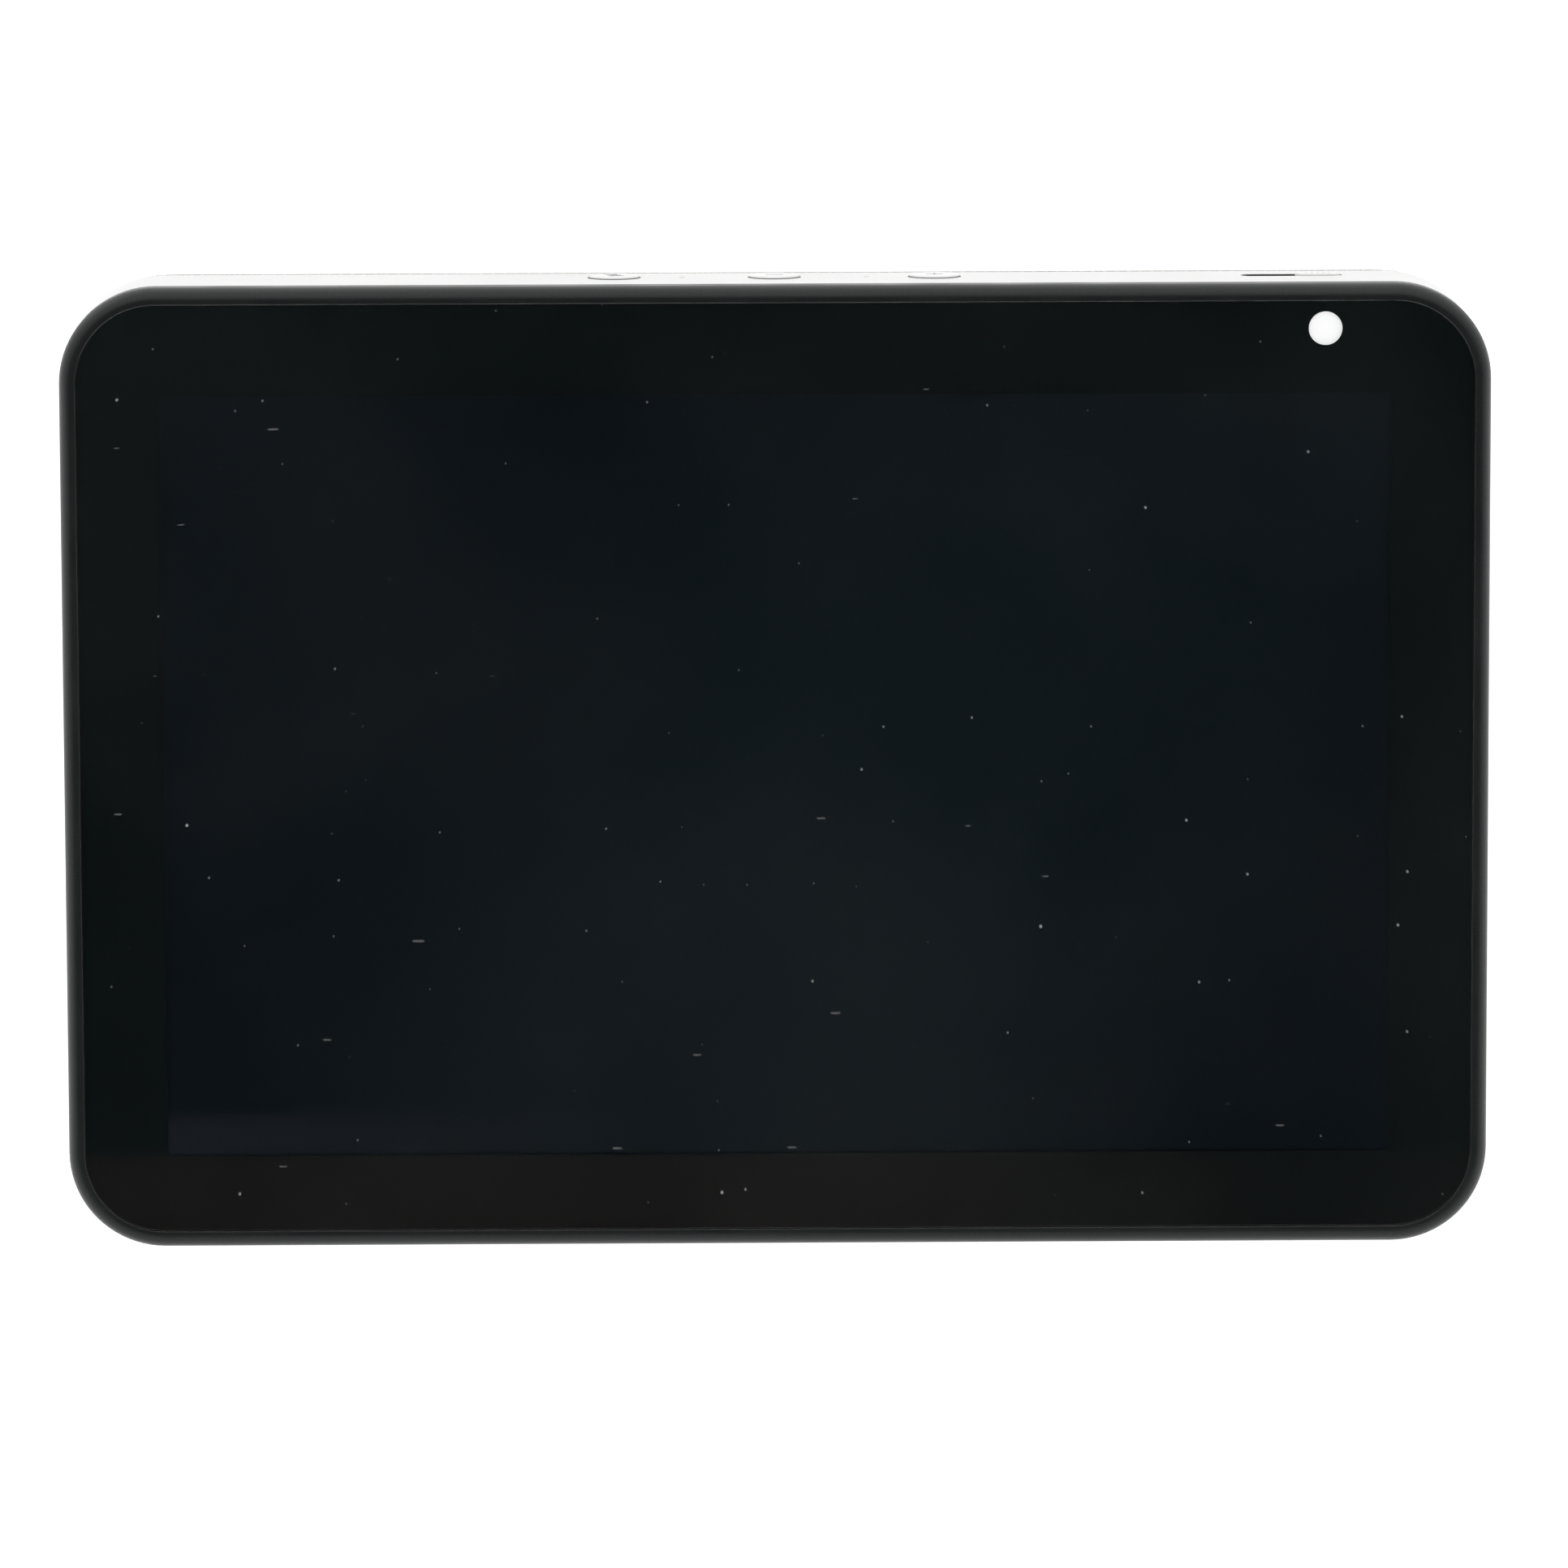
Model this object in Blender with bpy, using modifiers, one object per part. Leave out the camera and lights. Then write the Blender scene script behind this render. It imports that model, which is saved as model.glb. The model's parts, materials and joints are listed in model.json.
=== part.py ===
"""Eight-inch smart display that stands on a table, as an assembly of separate pieces.

The screen leans back over a wedge-shaped body. A black frame holds the glass, a white ring behind it
carries three push buttons and the camera shutter's slider, and a fabric-covered shell closes the back.
The origin is the centre of the rubber foot's underside. X is the width, -Y the front and +Z up.
"""

import math

import bmesh
import bpy
import numpy as np
from mathutils import Matrix, Vector
from mathutils.geometry import interpolate_bezier

MM = 0.001

# --- Driving sizes -----------------------------------------------------------------------------
PANEL_WIDTH = 200.4 * MM
PANEL_HEIGHT = 136.0 * MM
PANEL_CORNER = 13.5 * MM
TILT = math.radians(20.0)  # how far the screen leans back from upright
BODY_DEPTH = 99.8 * MM  # from the panel's lowest front edge, before rounding, to the flat back
BACK_NARROWING = 40.2 * MM  # how far in from the panel's side the flat, upright back ends
BACK_HEIGHT = 26.0 * MM  # of that face's top edge above the table
FOOT_HEIGHT = 1.5 * MM  # how far the foot stands out of the base

GAP = 0.3 * MM  # between pieces that touch or rest on each other
SLIDE_GAP = 0.3 * MM  # round a piece that slides in a hole

# Display stack, as depths behind the front of the glass.
GLASS_THICKNESS = 1.1 * MM
LCD_THICKNESS = 1.4 * MM
TRAY_THICKNESS = 2.2 * MM
CHASSIS_THICKNESS = 1.2 * MM
SPREADER_THICKNESS = 1.2 * MM
SPREADER_FIN = 1.6 * MM
BOARD_THICKNESS = 1.2 * MM
SHIELD_HEIGHT = 2.2 * MM

ACTIVE_WIDTH = 172.2 * MM
ACTIVE_HEIGHT = 107.6 * MM
ACTIVE_TOP_MARGIN = 15.3 * MM  # from the panel's top edge to the picture
LCD_SIDE_BORDER = 4.0 * MM
LCD_TOP_BORDER = 3.0 * MM
LCD_BOTTOM_BORDER = 6.0 * MM

FRAME_LIP = 2.0 * MM  # the black rim that shows round the glass
FRAME_LEDGE = 1.35 * MM  # what the glass is glued to
FRAME_DEPTH = 4.5 * MM
FRAME_SET_BACK = 0.25 * MM  # how far the rim lies behind the glass
FRAME_ROUND = 1.8 * MM

RING_BACK = 23.0 * MM  # depth of the white ring's rear edge
RING_WALL = 2.0 * MM
RING_INSET = 0.1 * MM  # how far the ring's outline lies inside the black frame's

FABRIC_THICKNESS = 1.2 * MM
SHELL_WALL = 2.0 * MM
HEM = 6.0 * MM  # how far the fabric turns in under the body

# Buttons in the top of the ring.
BUTTON_SPACING = 22.6 * MM
BUTTON_DEPTH = 16.0 * MM
BUTTON_RADIUS = 3.5 * MM
BUTTON_PROUD = 0.35 * MM
BUTTON_TRAVEL = 0.5 * MM
BUTTON_FLANGE = 0.8 * MM  # how far the flange under the wall stands out
MIC_OFFSET = 13.0 * MM
MIC_HOLE_RADIUS = 0.5 * MM

# Camera and its sliding shutter.
CAMERA_X = 76.9 * MM
MODULE_HALF = 2.6 * MM  # half the width of the square camera module, which sits against the frame's ledge
WINDOW_RADIUS = 2.35 * MM
SLOT_LENGTH = 14.4 * MM
SLOT_WIDTH = 3.2 * MM
SHUTTER_TRAVEL = 7.4 * MM
KNOB_PROUD = 0.3 * MM
BLADE_THICKNESS = 0.7 * MM

# Sound.
DRIVER_X = 44.5 * MM
DRIVER_Z = 62.0 * MM
DRIVER_RADIUS = 27.0 * MM
DRIVER_DEPTH = 22.0 * MM
BAFFLE_TILT = math.radians(6.0)
BAFFLE_BEHIND_FOOT = 24.0 * MM  # Y of the baffle's face at the drivers' height
RADIATOR_WIDTH = 28.0 * MM
RADIATOR_HEIGHT = 56.0 * MM
BOX_HALF_WIDTH = 72.0 * MM
BOX_WALL = 2.2 * MM

# Base, foot and ports.
SCREEN_SET_FORWARD = 37.0 * MM  # from the origin to the middle of the glass
FOOT_WIDTH = 124.0 * MM
FOOT_LENGTH = 52.0 * MM
FOOT_CORNER = 20.0 * MM
FOOT_RECESS = 1.0 * MM
BASE_THICKNESS = 3.6 * MM
WEIGHT_THICKNESS = 3.0 * MM
PORT_WIDTH = 64.0 * MM
PORT_HEIGHT = 18.0 * MM
PORT_CORNER = 4.0 * MM
PORT_THICKNESS = 1.8 * MM
PORT_SET_IN = 0.4 * MM  # how far the port panel lies inside the fabric's face
DC_BORE = 3.0 * MM
DC_PIN = 1.0 * MM
AUDIO_BORE = 1.8 * MM
PORT_AXIS_Z = 13.5 * MM

SCREW_RADIUS = 1.1 * MM
SCREW_HEAD_RADIUS = 2.1 * MM
SCREW_HEAD_HEIGHT = 1.0 * MM

CORNER_STEPS = 6  # straight pieces in a quarter turn of an outline
ROUND_STEPS = 20  # sides of a turned piece
BODY_STEPS = 11  # bands in the curved body

# --- Sizes that follow from them ---------------------------------------------------------------
RING_HALF_WIDTH = PANEL_WIDTH / 2 - RING_INSET
RING_HALF_HEIGHT = PANEL_HEIGHT / 2 - RING_INSET
RING_CORNER = PANEL_CORNER - RING_INSET
BODY_FRONT = RING_BACK + GAP  # depth at which the fabric body starts
PANEL_MID_Z = FOOT_HEIGHT + RING_HALF_HEIGHT * math.cos(TILT) + BODY_FRONT * math.sin(TILT)
PANEL_MID_Y = -SCREEN_SET_FORWARD
FRONT_EDGE_Y = PANEL_MID_Y - PANEL_HEIGHT / 2 * math.sin(TILT)
BACK_Y = FRONT_EDGE_Y + BODY_DEPTH
BACK_HALF_WIDTH = PANEL_WIDTH / 2 - BACK_NARROWING

GLASS_INSET = FRAME_LIP + GAP
GLASS_WIDTH = PANEL_WIDTH - 2 * GLASS_INSET
GLASS_HEIGHT = PANEL_HEIGHT - 2 * GLASS_INSET
GLASS_CORNER = PANEL_CORNER - GLASS_INSET
LCD_FRONT = GLASS_THICKNESS + GAP
TRAY_FRONT = LCD_FRONT + LCD_THICKNESS + GAP
CHASSIS_FRONT = TRAY_FRONT + TRAY_THICKNESS + GAP
CHASSIS_BACK = CHASSIS_FRONT + CHASSIS_THICKNESS
SPREADER_FRONT = CHASSIS_BACK + GAP
BOARD_FRONT = SPREADER_FRONT + SPREADER_THICKNESS + SPREADER_FIN + GAP
BOARD_BACK = BOARD_FRONT + BOARD_THICKNESS

ACTIVE_TOP = PANEL_HEIGHT / 2 - ACTIVE_TOP_MARGIN
LCD_WIDTH = ACTIVE_WIDTH + 2 * LCD_SIDE_BORDER
LCD_TOP = ACTIVE_TOP + LCD_TOP_BORDER
LCD_BOTTOM = ACTIVE_TOP - ACTIVE_HEIGHT - LCD_BOTTOM_BORDER

LEDGE_INSET = FRAME_LIP + FRAME_LEDGE
CAMERA_Y = PANEL_HEIGHT / 2 - LEDGE_INSET - GAP - MODULE_HALF
RING_INNER_HALF_WIDTH = RING_HALF_WIDTH - RING_WALL
RING_INNER_HALF_HEIGHT = RING_HALF_HEIGHT - RING_WALL
RING_INNER_CORNER = RING_CORNER - RING_WALL
RING_FRONT = FRAME_DEPTH + GAP
BASE_TOP = FOOT_HEIGHT + BASE_THICKNESS


# --- Scene and helpers -------------------------------------------------------------------------
def clear_scene():
    for leftover in list(bpy.data.objects):
        bpy.data.objects.remove(leftover)


def new_collection(name):
    made = bpy.data.collections.new(name)
    bpy.context.scene.collection.children.link(made)
    return made


clear_scene()
DISPLAY = new_collection("smart_display")
CUTTERS = new_collection("cutters")


def material(name, colour, roughness, metallic=0.0):
    made = bpy.data.materials.new(name)
    made.use_nodes = True
    shader = made.node_tree.nodes["Principled BSDF"]
    shader.inputs["Base Color"].default_value = (*colour, 1.0)
    shader.inputs["Roughness"].default_value = roughness
    shader.inputs["Metallic"].default_value = metallic
    return made


GLASS = material("cover_glass", (0.010, 0.012, 0.014), 0.05)
BLACK_PLASTIC = material("black_plastic", (0.030, 0.030, 0.033), 0.45)
LCD = material("lcd_face", (0.008, 0.012, 0.018), 0.20)
STEEL = material("steel", (0.55, 0.56, 0.58), 0.35, 1.0)
ALUMINIUM = material("aluminium", (0.70, 0.71, 0.73), 0.40, 1.0)
WHITE_PLASTIC = material("white_plastic", (0.86, 0.86, 0.85), 0.50)
SHELL_PLASTIC = material("shell_plastic", (0.62, 0.62, 0.61), 0.60)
FABRIC = material("fabric", (0.72, 0.71, 0.69), 0.95)
RUBBER = material("rubber", (0.30, 0.30, 0.31), 0.85)
CIRCUIT = material("circuit_board", (0.02, 0.16, 0.09), 0.50)
COPPER_FLEX = material("flex_circuit", (0.55, 0.30, 0.10), 0.45)
CONE = material("speaker_cone", (0.05, 0.05, 0.05), 0.80)
LENS = material("lens", (0.02, 0.02, 0.04), 0.05)


def empty(name, location, rotation=(0.0, 0.0, 0.0), parent=None):
    made = bpy.data.objects.new(name, None)
    made.location = location
    made.rotation_euler = rotation
    made.parent = parent
    DISPLAY.objects.link(made)
    return made


def add(name, data, finish, parent=None, location=(0, 0, 0), rotation=(0, 0, 0)):
    made = bpy.data.objects.new(name, data)
    made.location = location
    made.rotation_euler = rotation
    made.parent = parent
    if finish is None:
        made.hide_render = True
        made.display_type = "WIRE"
        CUTTERS.objects.link(made)
    else:
        data.materials.append(finish)
        DISPLAY.objects.link(made)
    return made


def mesh_from(name, bm):
    bmesh.ops.recalc_face_normals(bm, faces=bm.faces)
    made = bpy.data.meshes.new(name)
    bm.to_mesh(made)
    bm.free()
    return made


def smooth(obj, angle=35.0):
    obj.data.shade_smooth()
    obj.data.set_sharp_from_angle(angle=math.radians(angle))
    return obj


def box(name, low, high, finish, parent=None, location=(0, 0, 0), rotation=(0, 0, 0)):
    """A box between two corners, in its parent's axes."""
    low, high = Vector(low), Vector(high)
    size = high - low
    bm = bmesh.new()
    bmesh.ops.create_cube(bm, size=1.0)
    for vertex in bm.verts:
        vertex.co = (low + high) / 2 + Vector(vertex.co[k] * size[k] for k in range(3))
    return add(name, mesh_from(name, bm), finish, parent, location, rotation)


def cylinder(name, radius, low, high, finish, parent=None, location=(0, 0, 0), rotation=(0, 0, 0),
             sides=ROUND_STEPS):
    """A cylinder along its own Z, from low to high."""
    bm = bmesh.new()
    bmesh.ops.create_cone(bm, cap_ends=True, segments=sides, radius1=radius, radius2=radius,
                          depth=high - low, matrix=Matrix.Translation((0, 0, (low + high) / 2)))
    return add(name, mesh_from(name, bm), finish, parent, location, rotation)


def turned(name, profile, finish, parent=None, location=(0, 0, 0), rotation=(0, 0, 0),
           steps=ROUND_STEPS, closed=True):
    """A profile of (radius, height) points turned about Z. It runs down the piece's outer side."""
    points = [(radius, 0.0, height) for radius, height in profile]
    count = len(points)
    edges = [(k, k + 1) for k in range(count - 1)]
    if closed:
        edges.append((count - 1, 0))
    data = bpy.data.meshes.new(name)
    data.from_pydata(points, edges, [])
    made = add(name, data, finish, parent, location, rotation)
    screw = made.modifiers.new("turn", "SCREW")
    screw.axis = "Z"
    screw.steps = steps
    screw.render_steps = steps
    screw.use_merge_vertices = True
    screw.merge_threshold = 0.00001
    return made


def arc(centre, radius, start, end, steps=CORNER_STEPS):
    """Points on an arc between two angles in degrees, both ends included."""
    turn = [math.radians(start + (end - start) * k / steps) for k in range(steps + 1)]
    return [(centre[0] + radius * math.cos(a), centre[1] + radius * math.sin(a)) for a in turn]


def rounded_rectangle(width, height, radius, centre=(0.0, 0.0), steps=CORNER_STEPS):
    x, y = width / 2 - radius, height / 2 - radius
    corners = ((x, -y, -90), (x, y, 0), (-x, y, 90), (-x, -y, 180))
    outline = []
    for cx, cy, start in corners:
        outline += arc((centre[0] + cx, centre[1] + cy), radius, start, start + 90, steps)
    return outline


def circle(radius, centre=(0.0, 0.0), sides=12):
    return arc(centre, radius, 0, 360 - 360 / sides, sides - 1)


def plate(name, outlines, low, high, finish, parent=None, location=(0, 0, 0), rotation=(0, 0, 0),
          rounding=0.0):
    """Flat outlines, the first one solid and the others holes in it, from low to high along Z."""
    data = bpy.data.curves.new(name, "CURVE")
    data.dimensions = "2D"
    data.fill_mode = "BOTH"
    data.extrude = (high - low) / 2 - rounding
    data.bevel_depth = rounding
    data.bevel_resolution = 1
    data.offset = -rounding
    for outline in outlines:
        spline = data.splines.new("POLY")
        spline.points.add(len(outline) - 1)
        spline.use_cyclic_u = True
        for point, (x, y) in zip(spline.points, outline):
            point.co = (x, y, 0.0, 1.0)
    made = add(name, data, finish, parent, location, rotation)
    made.location = Vector(location) + made.rotation_euler.to_matrix() @ Vector((0, 0, (low + high) / 2))
    return made


def as_mesh(obj):
    """The curve as a welded mesh, so that Booleans and Bevel can work on it."""
    bpy.context.view_layer.update()
    graph = bpy.context.evaluated_depsgraph_get()
    data = bpy.data.meshes.new_from_object(obj.evaluated_get(graph))
    bm = bmesh.new()
    bm.from_mesh(data)
    bmesh.ops.remove_doubles(bm, verts=bm.verts, dist=0.000002)
    bmesh.ops.recalc_face_normals(bm, faces=bm.faces)
    bm.to_mesh(data)
    bm.free()
    name, parent, place = obj.name, obj.parent, obj.matrix_basis.copy()
    collection = obj.users_collection[0]
    hidden = obj.hide_render
    bpy.data.objects.remove(obj)
    made = bpy.data.objects.new(name, data)
    made.parent = parent
    made.matrix_basis = place
    made.hide_render = hidden
    made.display_type = "WIRE" if hidden else "TEXTURED"
    collection.objects.link(made)
    return made


def boolean(obj, other, operation="DIFFERENCE"):
    modifier = obj.modifiers.new(other.name, "BOOLEAN")
    modifier.operation = operation
    modifier.object = other
    modifier.solver = "EXACT"
    modifier.use_self = True
    return obj


def join_shape(obj, other):
    """Adds a helper solid to obj; the helper itself isn't a node."""
    return boolean(obj, other, "UNION")


def merged_cutter(name, helpers):
    """Separate cutters as one object, which a single Boolean takes."""
    bpy.context.view_layer.update()
    bm = bmesh.new()
    for helper in helpers:
        part = bpy.data.meshes.new_from_object(helper.evaluated_get(bpy.context.evaluated_depsgraph_get()))
        part.transform(helper.matrix_basis)
        bm.from_mesh(part)
        parent = helper.parent
        bpy.data.objects.remove(helper)
    made = add(name, mesh_from(name, bm), None, parent)
    return made


# --- Places ------------------------------------------------------------------------------------
# In the screen's own axes X is the width, Y runs up the screen and Z points out of it.
SCREEN = empty("screen_axes", (0, PANEL_MID_Y, PANEL_MID_Z), (math.radians(90) - TILT, 0, 0))
# In the ring's top face, Z points out of the face, X is the width and Y runs to the back.
TOP_FACE = empty("top_face_axes", (0, RING_HALF_HEIGHT, 0), (-math.radians(90), 0, 0), SCREEN)
# On the baffle, Z points out of it, to the back.
BAFFLE = empty("baffle_axes", (0, BAFFLE_BEHIND_FOOT, DRIVER_Z),
               (-math.radians(90) + BAFFLE_TILT, 0, 0))
# On the port panel, Z points to the back and Y down.
BACK = empty("back_axes", (0, BACK_Y, 0), (-math.radians(90), 0, 0))


def on_screen(height, depth):
    """World Y and Z of a point on the screen's middle line: height up the screen, depth behind it."""
    return (PANEL_MID_Y + height * math.sin(TILT) + depth * math.cos(TILT),
            PANEL_MID_Z + height * math.cos(TILT) - depth * math.sin(TILT))


# --- Front: glass, frame and display ------------------------------------------------------------
def make_cover_glass():
    outline = rounded_rectangle(GLASS_WIDTH, GLASS_HEIGHT, GLASS_CORNER)
    plate("cover_glass", [outline], -GLASS_THICKNESS, 0, GLASS, SCREEN, rounding=0.25 * MM)


def make_front_frame():
    """The black rim: a section swept round the panel's outline."""
    back = -FRAME_DEPTH
    face = -FRAME_SET_BACK
    round_centre = (-FRAME_ROUND, face - FRAME_ROUND)
    shoulder = -LCD_FRONT
    section = arc(round_centre, FRAME_ROUND, 0, 90, 4)
    section += [(-FRAME_LIP, face), (-FRAME_LIP, shoulder), (-LEDGE_INSET, shoulder),
                (-LEDGE_INSET, back), (0, back)]
    outline = rounded_rectangle(PANEL_WIDTH, PANEL_HEIGHT, PANEL_CORNER)
    bm = bmesh.new()
    rings = []
    for outward, height in section:
        inset = -outward
        ring = rounded_rectangle(PANEL_WIDTH - 2 * inset, PANEL_HEIGHT - 2 * inset, PANEL_CORNER - inset)
        rings.append([bm.verts.new((x, y, height)) for x, y in ring])
    count = len(outline)
    for a, b in zip(rings, rings[1:] + rings[:1]):
        for k in range(count):
            bm.faces.new((a[k], a[(k + 1) % count], b[(k + 1) % count], b[k]))
    smooth(add("front_frame", mesh_from("front_frame", bm), BLACK_PLASTIC, SCREEN))


def make_display_stack():
    middle = (LCD_TOP + LCD_BOTTOM) / 2
    height = LCD_TOP - LCD_BOTTOM
    outline = rounded_rectangle(LCD_WIDTH, height, 1.0 * MM, (0, middle), 2)
    plate("lcd_panel", [outline], -LCD_FRONT - LCD_THICKNESS, -LCD_FRONT, LCD, SCREEN)
    tray = rounded_rectangle(LCD_WIDTH + 2 * MM, height + 2 * MM, 1.5 * MM, (0, middle), 2)
    plate("backlight_tray", [tray], -TRAY_FRONT - TRAY_THICKNESS, -TRAY_FRONT, STEEL, SCREEN)


BOSS_RADIUS = 3.6 * MM
BOSS_HOLD = 0.5 * MM  # how far a boss reaches into the rounded corner of the ring's wall
BOSS_INSET = RING_INNER_CORNER - (RING_INNER_CORNER - BOSS_RADIUS + BOSS_HOLD) / math.sqrt(2)
BOSS_X = RING_INNER_HALF_WIDTH - BOSS_INSET
BOSS_Y = RING_INNER_HALF_HEIGHT - BOSS_INSET
BOSS_BACK = 14.0 * MM
BOSS_CORNERS = [(sx * BOSS_X, sy * BOSS_Y) for sy in (1, -1) for sx in (-1, 1)]


def make_display_chassis():
    """The plate behind the display, cut back for the camera and with holes for its four screws."""
    margin = 1.0 * MM
    width = 2 * (RING_INNER_HALF_WIDTH - margin)
    height = 2 * (RING_INNER_HALF_HEIGHT - margin)
    outline = rounded_rectangle(width, height, RING_INNER_CORNER - margin)
    right = CAMERA_X + MODULE_HALF + margin
    left = ARM_LEFT - SHUTTER_TRAVEL - margin
    low = CAMERA_Y - MODULE_HALF - margin
    top_edge = 2 * (CORNER_STEPS + 1)  # where the outline's straight top edge starts
    outline[top_edge:top_edge] = [(right, height / 2), (right, low), (left, low), (left, height / 2)]
    flex_window = rounded_rectangle(44 * MM, 6 * MM, 2 * MM, (0, LCD_BOTTOM + 10 * MM), 2)
    holes = [circle(SCREW_RADIUS + GAP, corner, 10) for corner in BOSS_CORNERS]
    plate("display_chassis", [outline, flex_window, *holes], -CHASSIS_FRONT - CHASSIS_THICKNESS,
          -CHASSIS_FRONT, ALUMINIUM, SCREEN)


# --- White ring --------------------------------------------------------------------------------
SLOT_X = CAMERA_X - 3.9 * MM
BUTTONS = (("mic_off", -1), ("volume_down", 0), ("volume_up", 1))


def make_housing_ring():
    outer = rounded_rectangle(2 * RING_HALF_WIDTH, 2 * RING_HALF_HEIGHT, RING_CORNER)
    inner = rounded_rectangle(2 * RING_INNER_HALF_WIDTH, 2 * RING_INNER_HALF_HEIGHT, RING_INNER_CORNER)
    ring = as_mesh(plate("housing_ring", [outer, inner], -RING_BACK, -RING_FRONT, WHITE_PLASTIC, SCREEN))
    boss_front = CHASSIS_BACK + GAP
    posts = [cylinder("boss", BOSS_RADIUS, -BOSS_BACK, -boss_front, None, SCREEN, (x, y, 0), sides=12)
             for x, y in BOSS_CORNERS]
    join_shape(ring, merged_cutter("ring_bosses", posts))
    holes = [cylinder("hole", SCREW_RADIUS + GAP, -BOSS_BACK - 1 * MM, -boss_front + 1 * MM, None, SCREEN,
                      (x, y, 0), sides=10) for x, y in BOSS_CORNERS]
    boolean(ring, merged_cutter("boss_holes", holes))
    reach = RING_WALL + 1 * MM
    cuts = [cylinder("hole", BUTTON_RADIUS + SLIDE_GAP, -reach, 1 * MM, None, TOP_FACE,
                     (place * BUTTON_SPACING, BUTTON_DEPTH, 0)) for _, place in BUTTONS]
    cuts += [cylinder("hole", MIC_HOLE_RADIUS, -reach, 1 * MM, None, TOP_FACE,
                      (side * MIC_OFFSET, BUTTON_DEPTH, 0), sides=8) for side in (-1, 1)]
    slot = rounded_rectangle(SLOT_LENGTH, SLOT_WIDTH, SLOT_WIDTH / 2 - 0.01 * MM, (SLOT_X, BUTTON_DEPTH), 4)
    cuts.append(as_mesh(plate("slot", [slot], -reach, 1 * MM, None, TOP_FACE)))
    boolean(ring, merged_cutter("top_openings", cuts))


# --- Buttons and microphones -------------------------------------------------------------------
UNDER_WALL = -RING_WALL - GAP  # height of what lies just under the ring's top wall
FLANGE_THICKNESS = 0.6 * MM
BUTTON_BOARD_TOP = UNDER_WALL - 3.6 * MM
BUTTON_BOARD_THICKNESS = 0.8 * MM
BUTTON_BOARD_CLEARANCE = 3.0 * MM  # behind the chassis
SWITCH_TOP = UNDER_WALL - FLANGE_THICKNESS - BUTTON_TRAVEL - GAP
PLUNGER_TOP = UNDER_WALL - FLANGE_THICKNESS - GAP
PLUNGER_RADIUS = 0.9 * MM


def make_button(name, x):
    """A cap with a flange that holds it in, the switch under it and that switch's plunger."""
    flange = BUTTON_RADIUS + SLIDE_GAP + BUTTON_FLANGE
    edge = 0.25 * MM
    cap = [(0, BUTTON_PROUD), (BUTTON_RADIUS - edge, BUTTON_PROUD), (BUTTON_RADIUS, BUTTON_PROUD - edge),
           (BUTTON_RADIUS, UNDER_WALL), (flange, UNDER_WALL), (flange, UNDER_WALL - FLANGE_THICKNESS),
           (0, UNDER_WALL - FLANGE_THICKNESS)]
    smooth(turned(name + "_button", cap, WHITE_PLASTIC, TOP_FACE, (x, BUTTON_DEPTH, 0), closed=False))
    cylinder(name + "_plunger", PLUNGER_RADIUS, BUTTON_BOARD_TOP + BUTTON_TRAVEL + GAP, PLUNGER_TOP,
             BLACK_PLASTIC, TOP_FACE, (x, BUTTON_DEPTH, 0), sides=12)
    half = 2.3 * MM
    body = [(-half, -half), (half, -half), (half, half), (-half, half)]
    plate(name + "_switch", [body, circle(PLUNGER_RADIUS + SLIDE_GAP)], BUTTON_BOARD_TOP + GAP, SWITCH_TOP,
          STEEL, TOP_FACE, (x, BUTTON_DEPTH, 0))


def make_microphone(side, x):
    box("microphone_" + side, (-1.9 * MM, -1.4 * MM, BUTTON_BOARD_TOP + GAP),
        (1.9 * MM, 1.4 * MM, BUTTON_BOARD_TOP + 1.3 * MM), STEEL, TOP_FACE, (x, BUTTON_DEPTH, 0))
    ring = [circle(1.8 * MM), circle(0.6 * MM, sides=8)]
    plate("mic_gasket_" + side, ring, BUTTON_BOARD_TOP + 1.3 * MM + GAP, UNDER_WALL, RUBBER, TOP_FACE,
          (x, BUTTON_DEPTH, 0))


def make_button_board():
    half_length = BUTTON_SPACING + 9 * MM
    half_width = BUTTON_DEPTH - CHASSIS_BACK - BUTTON_BOARD_CLEARANCE
    middle = BUTTON_DEPTH
    outline = rounded_rectangle(2 * half_length, 2 * half_width, 1 * MM, (0, middle), 2)
    ends = [circle(1.2 * MM, (side * (half_length - 3 * MM), middle)) for side in (-1, 1)]
    plate("button_board", [outline, *ends], BUTTON_BOARD_TOP - BUTTON_BOARD_THICKNESS, BUTTON_BOARD_TOP,
          CIRCUIT, TOP_FACE)


# --- Camera and shutter ------------------------------------------------------------------------
BLADE_FRONT = GLASS_THICKNESS + 2 * GAP
BLADE_BACK = BLADE_FRONT + BLADE_THICKNESS
BLADE_HALF = WINDOW_RADIUS + 0.25 * MM
LENS_FRONT = BLADE_BACK + GAP
LENS_RADIUS = 1.9 * MM
MODULE_FRONT = LENS_FRONT + 1.0 * MM
MODULE_BACK = MODULE_FRONT + 3.2 * MM
ARM_RIGHT = CAMERA_X - MODULE_HALF - GAP
ARM_LEFT = ARM_RIGHT - 1.8 * MM
KNOB_X = SLOT_X + SHUTTER_TRAVEL / 2
RING_ARM_TOP = PANEL_HEIGHT / 2 - LEDGE_INSET - GAP - RING_HALF_HEIGHT  # just inside the frame's ledge
KNOB_LENGTH = SLOT_LENGTH - SHUTTER_TRAVEL - 2 * SLIDE_GAP
KNOB_WIDTH = SLOT_WIDTH - 2 * SLIDE_GAP


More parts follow.
